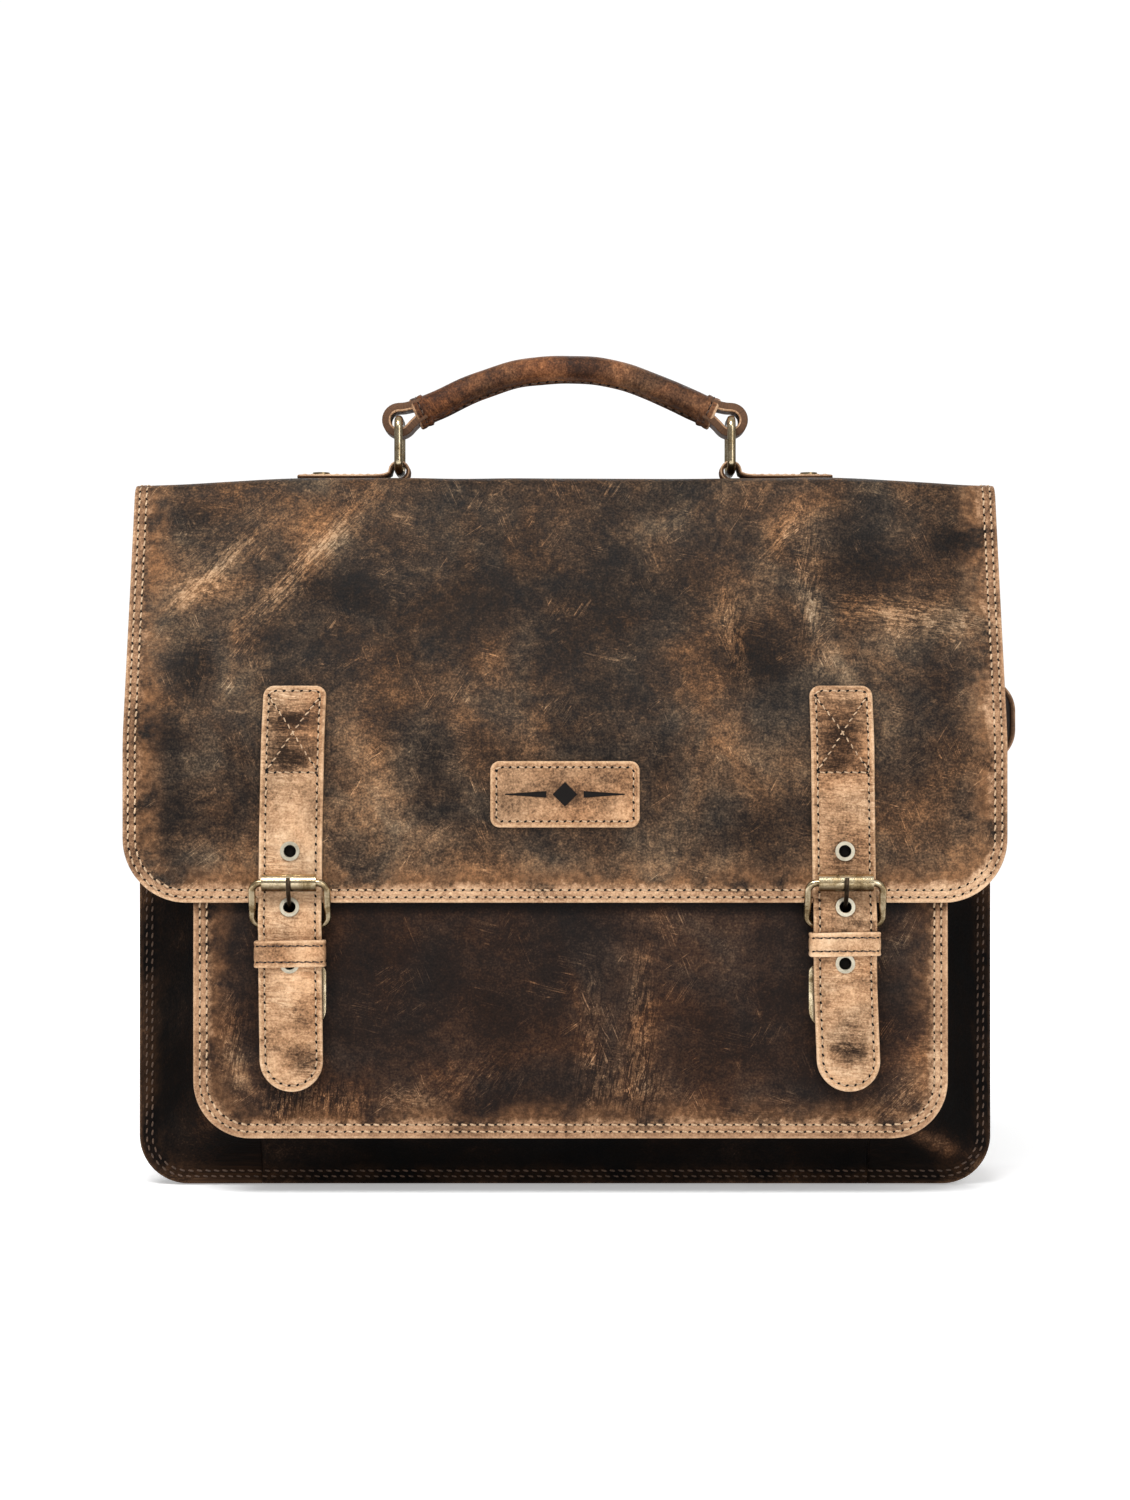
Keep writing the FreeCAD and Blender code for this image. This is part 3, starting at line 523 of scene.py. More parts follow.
def stitches(name, points, normals, pitch, gap, width, height, kind="thread"):
    """A row of stitches along a line, with the holes that the thread goes through."""
    points, normals = np.asarray(points, float), np.asarray(normals, float)
    lengths = lengths_along(points)
    total = lengths[-1]
    count = max(1, int(round(total / pitch)))
    pitch = total / count

    def at(s):
        p, n = (np.stack([np.interp(s, lengths, line[:, k]) for k in range(3)], -1)
                for line in (points, normals))
        return p, unit(n)

    stations, around = np.linspace(0, 1, 7), np.radians(np.arange(0, 360, 60))
    lift = height * np.sin(np.pi * stations) ** 0.6 - 0.12
    radius = width * np.maximum(1 - (2 * stations - 1) ** 4, 0.05) ** 0.5
    circle = np.stack([np.cos(around), 0.7 * np.sin(around)], 1)
    grid = np.arange(len(stations) * len(around)).reshape(len(stations), len(around))
    blocks, places, faces = [], [], []
    for i in range(count):
        jitter = math.sin(i * 12.9898 + len(points)) * 0.06 * pitch
        s = (i + 0.5) * pitch + (stations - 0.5) * (pitch - gap) + jitter
        p, n = at(np.clip(s, 0, total))
        side = np.cross(unit(np.gradient(p, axis=0)), n)
        p = p + side * (stations * 2 - 1)[:, None] * SLANT + n * lift[:, None]
        ring = circle[None] * radius[:, None, None]
        ring = p[:, None] + side[:, None] * ring[..., :1] + n[:, None] * ring[..., 1:]
        blocks.append(ring.reshape(-1, 3))
        places += [(a * 0.0002, length * MM, i * 0.013) for length in s for a in range(len(around))]
        index = grid + i * grid.size
        faces += grid_faces(index, close_columns=True) + [index[0, ::-1].tolist(), index[-1].tolist()]
    sewn = len(faces)
    turn = np.radians(np.arange(0, 360, 45))[:, None]
    for i in range(count + 1):
        (p, q), (n, _) = at(np.minimum([i * pitch, i * pitch + 0.2], total))
        way = q - p
        if np.linalg.norm(way) < 1e-6:
            way = np.array([1.0, 0, 0]) if abs(n[0]) < 0.9 else np.array([0, 1.0, 0])
        way = unit(way)
        side = np.cross(way, n)
        long, short = way * 0.84 - side * 0.36, way * 0.18 + side * 0.44
        rim = p + long * np.cos(turn) + short * np.sin(turn) + n * 0.05
        blocks.append(np.concatenate([rim, [p + n * 0.10, p - n * 0.3]]))
        places += [(0, 0, 0)] * 10
        start = count * grid.size + i * 10
        for a, b in zip(range(8), (*range(1, 8), 0)):
            faces += [[start + a, start + b, start + 8], [start + b, start + a, start + 9]]
    kinds = [0] * sewn + [1] * (len(faces) - sewn)
    return make_mesh(name, np.concatenate(blocks), faces, (kind, "hole"), kinds, lp=np.array(places))


def inset_line(half, start, end, top_radius, low_radius, inset, open_top=False, step=1.0):
    """The line inside a rounded rectangle at a distance from its edge, as x and s."""
    w, a, b = half - inset, start + inset, end - inset
    rt, rb = max(top_radius - inset, 0.3), max(low_radius - inset, 0.3)

    def arc(cx, cy, r, from_deg, to_deg):
        angles = np.radians(np.linspace(from_deg, to_deg, max(4, int(r * math.pi / 2 / step))))
        return [(cx + r * math.cos(t), cy + r * math.sin(t)) for t in angles[1:]]

    # s grows downwards, so the line runs down the left side, along the bottom and up the right
    top = start if open_top else a + rt
    dots = [(-w, top), (-w, b - rb)] + arc(-w + rb, b - rb, rb, 180, 90)
    dots += [(w - rb, b)] + arc(w - rb, b - rb, rb, 90, 0) + [(w, top)]
    if not open_top:
        dots += arc(w - rt, a + rt, rt, 0, -90) + [(-w + rt, a)] + arc(-w + rt, a + rt, rt, -90, -180)
    dots = np.array(dots)
    lengths = lengths_along(dots)
    s = np.linspace(0, lengths[-1], int(lengths[-1] / step) + 2)
    return np.interp(s, lengths, dots[:, 0]), np.interp(s, lengths, dots[:, 1])


def border_rows(path, outline, insets, height, style, kind="thread", open_top=False, step=1.0, skip=-1.0,
                **where):
    """Rows of stitches inside an outline (half, start, end, radii), apart from the first skip of s."""
    rows = []
    for inset in insets:
        x, s = inset_line(*outline, inset, open_top, step)
        points, normals = surface_line(path, x[s > skip], s[s > skip], height, **where)
        rows.append(stitches("row", points, normals, *style, kind))
    return rows


# ---------------------------------------------------------------- sheets and skins of leather

def even(start, end, step, near, reach=7.5):
    """Places from start to end: rounded edges finely, stitched borders at near, the rest at step."""
    border, e = [], 0.85
    while e < min(reach + step * 3, (end - start) / 2):
        e += near + (step - near) * min(1.0, max(0.0, e - reach) / (step * 3))
        border.append(e)
    border = [e for e in border if e < (end - start) / 2 - step * 0.3]
    last = border[-1] if border else 0.85
    count = max(2, int((end - start - 2 * last) / step) + 1)
    middle = np.linspace(start + last, end - last, count + 1)[1:-1]
    first = [start + v for v in [0.0, 0.1, 0.28, 0.55, 0.85] + border]
    return np.array(first + list(middle) + [start + end - v for v in first[::-1]])


def outline_shape(x, s, half, start, end, top_radius, low_radius):
    """A rounded rectangle's half width at s, and how far inside it the points (x, s) lie."""
    ax, width = np.abs(x), np.full(np.shape(s), float(half))
    distance = np.minimum(np.minimum(half - ax, s - start), end - s)
    for radius, e in ((top_radius, s - start), (low_radius, end - s)):
        if radius > 0:
            drop = radius - np.sqrt(np.maximum(radius ** 2 - (radius - e) ** 2, 0))
            width = np.where(e < radius, width - drop, width)
            corner = (ax > half - radius) & (e < radius)
            distance = np.where(corner, radius - np.hypot(ax - (half - radius), radius - e), distance)
    return np.maximum(width, 0.4), np.maximum(distance, 0)


def cut_hole(x, s, hole_x, hole_s, radius):
    """Marks the grid's cells inside a round hole and moves the points at its rim onto the circle."""
    gone = np.hypot((x[:-1, :-1] + x[1:, 1:]) / 2 - hole_x, (s[:-1, :-1] + s[1:, 1:]) / 2 - hole_s) < radius
    n, m = gone.shape
    touched, kept = np.zeros((2, *x.shape), bool)
    for i, j in ((0, 0), (0, 1), (1, 0), (1, 1)):
        touched[i:i + n, j:j + m] |= gone
        kept[i:i + n, j:j + m] |= ~gone
    rim, away = touched & kept, np.hypot(x - hole_x, s - hole_s)
    x = np.where(rim, hole_x + (x - hole_x) / away * radius, x)
    s = np.where(rim, hole_s + (s - hole_s) / away * radius, s)
    return gone, x, s


def sheet_piece(name, path, outline, base, thick, kinds, step=3.0, near=0.6, edge=1.0, lift=None, tone=None,
                creases=None, shift=(0, 0), holes=(), mirror=False, centre=0.0, **where):
    """A sheet of leather along a path, across the third axis, with rounded corners and edges.

    The outline is its half width, start, end and the radii of its upper and lower corners. Its back lies
    base above the path and its face thick above that. lift(x, s, distance) raises the face and the back
    with it (or lowers the back, if mirrored), tone(x, s) tints and creases(x, s) gives the three strengths
    of creasing. What surface_line needs besides goes through as it is.
    """
    half, start, end = outline[:3]
    rows, columns = even(start, end, step, near), even(-half, half, step, near)
    s, flat = np.meshgrid(rows, columns, indexing="ij")
    width = outline_shape(flat, s, *outline)[0]
    border = min(12.0, half * 0.5)
    shown = np.minimum(border, width * 0.5)
    e = half - np.abs(flat)
    x = np.where(e < border, np.sign(flat) * (width - e * shown / border),
                 flat * (width - shown) / (half - border))
    cut = np.zeros((len(rows) - 1, len(columns) - 1), bool)
    for hole in holes:
        gone, x, s = cut_hole(x, s, *hole)
        cut |= gone
    distance = outline_shape(x, s, *outline)[1]
    round_off = edge * (1 - np.sqrt(np.clip(1 - (1 - np.minimum(distance / edge, 1)) ** 2, 0, 1)))
    raised = np.zeros_like(x) if lift is None else lift(x, s, distance)
    face = base + thick + raised - round_off
    back = base - raised + round_off * 0.6 if mirror else base + raised * (distance > 1) + round_off * 0.4
    face = np.maximum(face, back + 0.05)
    points = [surface_line(path, x, s, height, centre=centre,
                           **where)[0].reshape(-1, 3) for height in (face, back)]
    count = x.size
    index = np.arange(count).reshape(x.shape)
    quads = np.array(grid_faces(index))[~cut.reshape(-1)]
    faces = quads.tolist() + (quads[:, ::-1] + count).tolist()
    kinds_of_faces = [0] * len(quads) + [1] * len(quads)
    sides = {(a, b) for quad in quads.tolist() for a, b in zip(quad, quad[1:] + quad[:1])}
    rim = [[a, a + count, b + count, b] for a, b in sides if (b, a) not in sides]
    places = np.stack([(x + centre) * MM + shift[0], s * MM + shift[1], np.zeros_like(x)], -1).reshape(-1, 3)
    tint = np.zeros(count) if tone is None else np.broadcast_to(tone(x + centre, s), x.shape).reshape(-1)
    folds = np.zeros((count, 3)) if creases is None else creases(x + centre, s).reshape(-1, 3)
    return make_mesh(name, np.concatenate(points), faces + rim, kinds, kinds_of_faces + [2] * len(rim),
                     lp=np.tile(places, (2, 1)), ed=np.tile(distance.reshape(-1), 2), tone=np.tile(tint, 2),
                     cr=np.tile(folds, (2, 1)))


SIDE_DOTS, TURN_DOTS, TOE_DOTS, RUN_DOTS = 70, 18, 12, 96
SEAM_LEFT = SIDE_DOTS + TURN_DOTS + TOE_DOTS
SEAM_RIGHT = SEAM_LEFT + RUN_DOTS - 1
GUSSET_CUTS = (("left", 0, SEAM_LEFT + 1), ("bottom", SEAM_LEFT, SEAM_RIGHT + 1),
               ("right", SEAM_RIGHT, None))
SEAM_GAP = 0.25


def u_loop(half, low, top, radius, seams=None):
    """Points (x, z) of a U: down the left side, round both lower corners and up the right side.

    The points with the indices SEAM_LEFT and SEAM_RIGHT lie at the two seams of the bottom run.
    """
    r = max(radius, 0.4)
    left_seam, right_seam = seams or ((r - half) * 0.8, (half - r) * 0.8)
    down = np.stack([np.full(SIDE_DOTS, -half), np.linspace(top, low + r, SIDE_DOTS)], 1)
    run = np.concatenate([np.linspace(-half + r, left_seam, TOE_DOTS, endpoint=False),
                          np.linspace(left_seam, right_seam, RUN_DOTS),
                          np.linspace(right_seam, half - r, TOE_DOTS + 1)[1:]])
    corners = []
    for sign, first in ((-1, 180), (1, 270)):
        turn = np.radians(np.linspace(first, first + 90, TURN_DOTS + 2)[1:-1])
        corners.append(np.stack([sign * (half - r) + r * np.cos(turn), low + r + r * np.sin(turn)], 1))
    across = np.stack([run, np.full(len(run), low)], 1)
    return np.concatenate([down, corners[0], across, corners[1], down[::-1] * (-1, 1)])


def at_depth(loop, y):
    """Points (x, z) at a depth y."""
    return np.stack([loop[:, 0], np.full(len(loop), float(y)), loop[:, 1]], 1)


def make_gusset(start, rings, kinds, tone, distances, shifts):
    """A gusset in three lengths. Each ring is a line along the U, and the rings go round its section."""
    for (side, first, last), shift in zip(GUSSET_CUTS, shifts):
        part = rings[:, first:last].copy()
        if side == "bottom":
            part[:, 0, 0] += SEAM_GAP
            part[:, -1, 0] -= SEAM_GAP
        k, n = part.shape[:2]
        index = np.arange(k * n).reshape(k, n)
        faces = grid_faces(index, close_rows=True)
        caps = [index[:, 0].tolist(), index[::-1, -1].tolist()]
        along, around = lengths_along(part[0]), lengths_along(part[:, n // 2])
        node = "%s_gusset_%s" % (start, side)
        piece = grid_mesh(node + "_leather", part, faces + caps, kinds, along, around[:, None], (shift, 2.0),
                          tone(part), np.array(distances)[:, None], [0] * len(faces) + [1] * len(caps))
        place(piece, "bag_body", "gusset_leather", node)


# ---------------------------------------------------------------- flap

FLAP_HALF, HINGE_Z, FOLD_Y, FLAP_Y = 200.0, 325.5, -11.0, -52.3
FLAP_LOW, FLAP_CORNER = 131.0, 29.0
TOP_FOLD = {"start": (0, -0.002, 0.329), "end": (0, -0.016, 0.316)}
FLAP_BODIES = ("flap_top", "flap_front")
flap_path = Path([(50, HINGE_Z), (FOLD_Y, HINGE_Z), (FLAP_Y, 205), (FLAP_Y, FLAP_LOW)], [0, 7, 45, 0])
END = flap_path.length


def flap_s(z):
    """The length along the flap's path at height z on its front."""
    front = flap_path.p[:, 0] < FOLD_Y + 1
    return flap_path.s[front][np.argmin(np.abs(flap_path.p[front, 1] - z))]


def flap_drop(x, s):
    """The flap's ends sag a little beside the bag, but not where they are sewn to the back panel."""
    fade = smooth(s, 9, 34) * (1 - smooth(s, flap_s(300), flap_s(200)))
    return 3.6 * smooth(np.abs(x), 118, 205) * fade


FLAP_SPOTS = [
    # x, z, half length, half width, turn, strength: above 0 is worn light, below 0 waxed dark
    (-120, 284, 42, 5.5, 48, 0.36), (-158, 285, 32, 3.6, 42, 0.26), (-163, 275, 24, 7, 0, 0.14),
    (-101, 271, 26, 9, -10, -0.24), (-174, 311, 20, 7, 0, -0.22), (-29, 270, 36, 22, 0, -0.17),
    (18, 262, 26, 48, 0, -0.22), (48, 272, 22, 12, 0, -0.16), (180, 299, 11, 10, 0, -0.28),
    (132, 287, 24, 13, 0, -0.20), (88, 240, 15, 18, 0, -0.26), (160, 262, 44, 6, -3, 0.30),
    (112, 275, 6, 34, 0, 0.22), (124, 241, 26, 4, -58, 0.20), (77, 252, 5, 22, 12, 0.26),
    (99, 297, 20, 6, 62, 0.22), (-168, 238, 12, 14, 0, -0.22), (-180, 206, 12, 10, 0, -0.26),
    (-176, 173, 13, 15, 0, -0.26), (-153, 236, 13, 16, 0, 0.13), (-97, 203, 9, 20, 0, 0.20),
    (-82, 180, 17, 16, 20, 0.18), (-60, 158, 22, 8, 0, 0.10), (68, 208, 18, 28, 0, 0.16),
    (4, 205, 30, 30, 0, -0.15), (-150, 158, 20, 8, 0, 0.10), (90, 170, 18, 14, 0, -0.12),
    (165, 215, 22, 20, 0, -0.10), (150, 160, 26, 12, 0, 0.10), (-40, 230, 30, 16, 0, 0.04),
    (0, 318, 120, 7, 0, -0.12), (0, 146, 150, 7, 0, 0.14), (-60, 190, 9, 12, 0, -0.12),
]
# the bands of parallel creases: one list for each of CREASE_TURNS, as in FLAP_SPOTS
FLAP_BANDS = (
    [(-120, 284, 44, 7.5, 48, 1.0), (-158, 287, 32, 6, 42, 0.8), (124, 241, 26, 5, -58, 0.3),
     (99, 297, 18, 6, 62, 0.8)],
    [(160, 262, 46, 9, -4, 1.0), (-163, 275, 24, 7, 0, 0.5), (-172, 300, 16, 9, 0, 0.4)],
    [(77, 252, 6, 24, 12, 0.9), (112, 275, 7, 34, 0, 0.8), (-168, 238, 8, 18, 0, 0.5)],
)
POCKET_BANDS = (
    [(150, 40, 24, 8, 25, 0.8), (-40, 52, 26, 12, 25, 0.5)],
    [(-70, 40, 16, 6, 0, 0.6), (100, 36, 60, 5, 0, 0.5), (165, 60, 9, 18, 0, 0.5)],
    [(-128, 40, 10, 12, 0, 1.0), (-104, 40, 18, 10, 0, 1.0), (-151, 66, 8, 24, 0, 0.8),
     (12, 62, 8, 34, 0, 0.7),
     (34, 78, 7, 34, 0, 0.9), (30, 46, 16, 12, 0, 0.7)],
)


def bands(x, z, lists):
    """The three strengths of creasing at the points (x, z)."""
    return np.stack([np.clip(blobs(x, z, spots), 0, 1) for spots in lists], -1)


def flap_tone(x, s):
    z = flap_path.height(s)
    low = smooth(s, END - 10, END - 6)
    side = smooth(np.abs(x), 176, 188) * 0.10 - smooth(np.abs(x), 190, 194) * 0.20 * (1 - low) + low * 0.16
    broad = value_noise(x, z, 46, 3.0) * 0.07 + value_noise(x, z, 19, 5.0) * 0.05
    front = smooth(s, 40, 80)
    return (blobs(x, z, FLAP_SPOTS) + broad + side) * front - 0.03 * (1 - front)


def flap_lift(x, s, distance):
    """Soft waves, pressed stitch lines and the ridges of the crease bands."""
    z = flap_path.height(s)
    waves = value_noise(x, z, 58, 1.0) * 0.55 + value_noise(x, z, 24, 2.0) * 0.22
    ridges = bands(x, z, FLAP_BANDS).sum(-1) * 0.35
    border = groove(distance, (2.5, 5.7)) + 0.25 * bell(distance - 4.1, 1.6)
    return (waves + ridges) * smooth(distance, 6, 26) + border


def make_flap():
    """The flap's hide, its backing and the stitching round it and along its sewn end."""
    outline = (FLAP_HALF, 0, END, 0.3, FLAP_CORNER)
    hide = sheet_piece("flap_hide", flap_path, (FLAP_HALF, 0, END, 0, FLAP_CORNER), 0.3, 1.2,
                       ("hide", "cut_edge", "dark_edge"), step=2.6, edge=0.9, lift=flap_lift, tone=flap_tone,
                       drop=flap_drop, creases=lambda x, s: bands(x, flap_path.height(s), FLAP_BANDS))
    bend(hide, FLAP_BODIES, TOP_FOLD, "brown_leather", "flap_leather", "flap_top_leather")
    backing = sheet_piece("flap_backing_suede", flap_path,
                          (FLAP_HALF - 0.5, 8.4, END - 0.5, 0, FLAP_CORNER - 0.5),
                          -1.3, 1.55, ("cut_edge", "suede", "cut_edge"), step=5, near=1.2, edge=0.5,
                          drop=flap_drop)
    bend(backing, FLAP_BODIES, TOP_FOLD, "backing", "flap_backing", "flap_top_backing")
    rows = border_rows(flap_path, outline, (2.5, 5.7), 1.38, HEAVY, open_top=True, step=1.5, drop=flap_drop)
    x = np.linspace(-FLAP_HALF + 7, FLAP_HALF - 7, 300)
    for s in (3.0, 6.4):
        line = surface_line(flap_path, x, np.full_like(x, s), 1.42, drop=flap_drop)
        rows.append(stitches("row", *line, *HEAVY))
    bend(join("flap_stitches", rows), FLAP_BODIES, TOP_FOLD, "tan_leather")


make_flap()


# ---------------------------------------------------------------- label patch

PATCH_Y, PATCH_Z, PATCH_HALF, PATCH_TALL, PATCH_CORNER = -53.75, 180.0, 33.75, 30.0, 4.3
PATCH_SPOTS = [(0, 15, 22, 7, 0, -0.30), (20, 6, 9, 4, 0, -0.12), (-26, 22, 6, 4, 0, -0.1)]


def make_patch():
    """The patch, with a plain mark pressed into it: a diamond between two tapering lines."""
    path = Path([(PATCH_Y, PATCH_Z + PATCH_TALL / 2), (PATCH_Y, PATCH_Z - PATCH_TALL / 2)])
    outline = (PATCH_HALF, 0, PATCH_TALL, PATCH_CORNER, PATCH_CORNER)
    patch = sheet_piece("label_patch_leather", path, outline, 0.0, 1.55,
                        ("tan_hide", "cut_edge", "cut_edge"), 1.2,
                        0.5, 0.8, lambda x, s, d: groove(d, (2.8,), 0.3) + value_noise(x, s, 14, 9) * 0.12,
                        lambda x, s: blobs(x, s, PATCH_SPOTS) + value_noise(x, s, 9, 4) * 0.08 - 0.02,
                        shift=(0.3, 0.2))
    place(patch, "flap_front", "tan_leather", "label_patch")
    rows = border_rows(path, outline, (2.8,), 1.4, (3.5, 0.9, 0.34, 0.3))
    place(join("patch_stitches", rows), "flap_front", "tan_leather")
    diamond = [(-5.6, PATCH_Z), (0, PATCH_Z + 5.6), (5.6, PATCH_Z), (0, PATCH_Z - 5.6)]
    lines = [[(sign * x, PATCH_Z + z) for x, z in ((8.4, 1.5), (27, 0.25), (27, -0.25), (8.4, -1.5))]
             for sign in (-1, 1)]
    ornament = prisms("patch_ornament", [diamond, *lines], PATCH_Y - 1.45, PATCH_Y - 1.72)
    ornament.data.shade_flat()
    place(ornament, "flap_front", "tan_leather")


make_patch()


# ---------------------------------------------------------------- straps and keepers

STRAP_HALF, STRAP_THICK, STRAP_TOP_CORNER = 14.3, 2.95, 5
STRAP_X = {"left": -124.0, "right": 126.2}
EYELETS = {"top": 154.4, "mid": 129.2, "low": 103.8}
SEWN_LOW, SEWN_HIGH = 190, 222.5      # the sewn box at a strap's upper end
STRAP_TOP, FLAP_KINK = 228.6, 205.0
FLAP_SLOPE = (FOLD_Y - FLAP_Y) / (HINGE_Z - FLAP_KINK)      # how far back the flap leans per millimetre up
# a strap lies on the flap's slope, turns at its kink and goes over the chape and the buckle's bar
STRAP_TOP_Y = FLAP_Y + (STRAP_TOP - FLAP_KINK) * FLAP_SLOPE - 1.5 * math.hypot(1, FLAP_SLOPE)
strap_path = Path([(STRAP_TOP_Y, STRAP_TOP), (-53.8, 205.25), (-53.8, 135), (-57, 124), (-57, 120.5),
                   (-55.2, 116.5), (-55.2, 46)], [0, 46.5, 8, 8, 8, 8, 0])
STRAP_LEAN = {"left": ((228, 1.6), (160, 0.2), (129, 0), (104, 0), (46, 0.8)),
              "right": ((228, -1.2), (155, -0.4), (129, 0), (104, 0.15), (92, 0.35), (46, 2.1))}
STRAP_SPOTS = {
    "left": [(-1, 213, 7, 3.5, 8, -0.62), (0, 196, 9, 5, 0, -0.42), (-5, 203, 4, 6, 0, -0.25),
             (3, 62, 8, 7, 0, -0.44), (6, 78, 6, 8, 0, -0.26), (-6, 70, 5, 9, 0, -0.12),
             (0, 172, 10, 14, 0, 0.12),
             (-4, 157, 3, 5, 0, 0.2), (0, 112, 12, 6, 0, -0.05), (0, 95, 9, 12, 0, 0.1)],
    "right": [(0, 172, 14, 16, 0, -0.13), (0, 64, 9, 5, 0, -0.52), (2, 76, 7, 6, 0, -0.2),
              (0, 206, 10, 9, 0, -0.34), (-4, 192, 7, 5, 0, -0.26), (0, 150, 12, 12, 0, -0.08),
              (3, 88, 8, 8, 0, 0.08), (0, 120, 12, 10, 0, -0.05)],
}
KEEPER_EDGES = {"left": (102.2, 114.2), "right": (107.1, 117.9)}
KEEPER_HALF, KEEPER_FRONT, KEEPER_BACK, KEEPER_THICK, KEEPER_CORNER = 16.1, -60.5, -51.3, 1.3, 2.2


def make_strap(side):
    """One strap with its eyelet holes, the stitching along it and the sewn box at its upper end."""
    middle = STRAP_X[side]
    heights, offsets = np.array(STRAP_LEAN[side]).T

    def lean(s):
        return np.interp(strap_path.height(s), heights[::-1], offsets[::-1])

    def lift(x, s, distance):
        z = strap_path.height(s)
        fold = -0.30 * bell(z - SEWN_LOW, 0.9) * (distance > 2)
        inside = smooth(z, 190, 193) * (1 - smooth(z, 220, 223))
        cross = sum(-0.22 * bell(x - k * (z - 206.5) * 0.62, 1.0) * inside for k in (-1, 1))
        crown = 0.35 * smooth(distance, 2, 9)
        waves = value_noise(x, s, 21, 8) * 0.16
        return groove(distance, (2.8,), 0.38, 0.8) + fold + cross + crown + waves - 0.25

    def tone(x, s):
        x, z = x - middle, strap_path.height(s)
        box = smooth(z, 189, 191) * (1 - smooth(z, 221, 223)) * (1 - smooth(np.abs(x), 10.5, 12))
        return blobs(x, z, STRAP_SPOTS[side]) + value_noise(x, z, 12, 6 + middle) * 0.10 + 0.05 - 0.17 * box

    def creases(x, s):
        return np.stack([0 * x, 0.34 + 0.34 * value_noise(x, s, 16, 19), 0 * x], -1)

    outline = (STRAP_HALF, 0, strap_path.length, STRAP_TOP_CORNER, STRAP_HALF - 0.1)
    holes = [(-float(lean(strap_path.find(z))), strap_path.find(z), 3.4) for z in EYELETS.values()]
    strap = sheet_piece("strap_%s_leather" % side, strap_path, outline, 0.0, STRAP_THICK,
                        ("tan_hide", "cut_edge", "cut_edge"), 1.0, 0.5, 1.2, lift, tone, creases,
                        (middle * 0.01, 0.5), holes, centre=middle, lean=lean)
    place(strap, "flap_front", "tan_leather", "strap_" + side)

    rows = border_rows(strap_path, outline, (2.8,), STRAP_THICK - 0.36, (3.9, 0.9, 0.36, 0.32), step=0.8,
                       centre=middle, lean=lean)
    inner, high, low = STRAP_HALF - 3.2, strap_path.find(SEWN_HIGH), strap_path.find(SEWN_LOW)
    for start, end in (((-inner, low), (inner, low)), ((-inner, low - 1.5), (inner, high)),
                       ((inner, low - 1.5), (-inner, high))):
        x, s = np.linspace(start, end, 60).T
        line = surface_line(strap_path, x, s, STRAP_THICK - 0.1, centre=middle, lean=lean)
        rows.append(stitches("row", *line, *LIGHT))
    place(join("strap_%s_stitches" % side, rows), "flap_front", "tan_leather")
    # near-black discs just behind the strap at its top and low eyelets: painted shade seen through their
    # bores
    for name in ("top", "low"):
        z = EYELETS[name]
        y = strap_path.at(strap_path.find(z))[0][0] - 0.5
        turn = np.radians(np.arange(0, 360, 15))
        circle = [(middle + 2.76 * math.cos(a), z + 2.76 * math.sin(a)) for a in turn]
        painted_shade_disc = prisms("eyelet_%s_%s_recess" % (side, name), [circle], y - 0.4, y)
        place(painted_shade_disc, "flap_front", "tan_leather")


def make_keeper(side):
    """A band of leather round a strap: a closed loop in X-Y, standing from its low to its high edge."""
    name, centre, (low, high) = "keeper_%s_leather" % side, STRAP_X[side], KEEPER_EDGES[side]
    corner_x, r = KEEPER_HALF - KEEPER_CORNER, KEEPER_CORNER
    corners = []
    for cx, cy, start in ((corner_x, KEEPER_BACK - r, 0), (-corner_x, KEEPER_BACK - r, 90),
                          (-corner_x, KEEPER_FRONT + r, 180), (corner_x, KEEPER_FRONT + r, 270)):
        corners += [(cx, cy, math.cos(a),
                     math.sin(a)) for a in np.radians(np.linspace(start, start + 90, 9))]
    dots = []
    for a, b in zip(np.array(corners), np.roll(corners, -1, 0)):
        gap = np.hypot(*(b[:2] + b[2:] * r - a[:2] - a[2:] * r))
        dots += [a + (b - a) * t for t in np.linspace(0, 1, max(2, int(gap / 1.2) + 1))[:-1]]
    dots = np.array(dots)
    outer, normal = dots[:, :2] + dots[:, 2:] * r, unit(dots[:, 2:])
    lengths, tall = lengths_along(outer), high - low
    profile = []
    for e in (0, 0.1, 0.3, 0.6, 1.0, 1.6, 2.1, 2.4, 2.7, 3.2, 4.2, tall / 2):
        dip = 0.7 * (1 - math.sqrt(1 - (1 - min(e / 0.7, 1)) ** 2)) + 0.28 * bell(e - 2.4, 0.6)
        profile.append((-dip, e))
    profile += [(d, tall - e) for d, e in profile[-2::-1]]
    profile += [(0.2 - KEEPER_THICK, tall), (-KEEPER_THICK, tall - 0.3), (-KEEPER_THICK, 0.3),
                (0.2 - KEEPER_THICK, 0)]
    out, rise = np.array(profile).T
    flat = outer[:, None] + normal[:, None] * out[:, None]
    wobble = 0.25 * np.sin(lengths[:, None] * 0.11 + np.arange(len(rise)) * 0.02)
    points = np.concatenate([flat + (centre, 0), (low + rise + wobble)[..., None]], -1)
    faces = grid_faces(np.arange(wobble.size).reshape(wobble.shape), True, True)
    tone = value_noise(points[..., 0], points[..., 2], 9, 2) * 0.12 + 0.04
    keeper = grid_mesh(name, points, faces, ("tan_hide",), lengths[:, None], low + rise,
                       (centre * 0.01, 0), tone,
                       np.minimum(rise, tall - rise))
    place(keeper, "keeper_loop_" + side, "tan_leather", "keeper_" + side)
    line = outer[outer[:, 1] < KEEPER_FRONT + 1.2]
    line = line[np.argsort(line[:, 0])]
    line = line[np.abs(line[:, 0]) < KEEPER_HALF - 1.6]
    rows = []
    for e in (2.4, tall - 2.4):
        points = np.stack([centre + line[:, 0], line[:, 1] + 0.24, np.full(len(line), low + e)], 1)
        rows.append(stitches("row", points, np.tile((0, -1, 0), (len(line), 1)), 3.7, 0.8, 0.33, 0.3,
                             "dark_thread"))
    place(join(name + "_stitches", rows), "keeper_loop_" + side, "tan_leather")


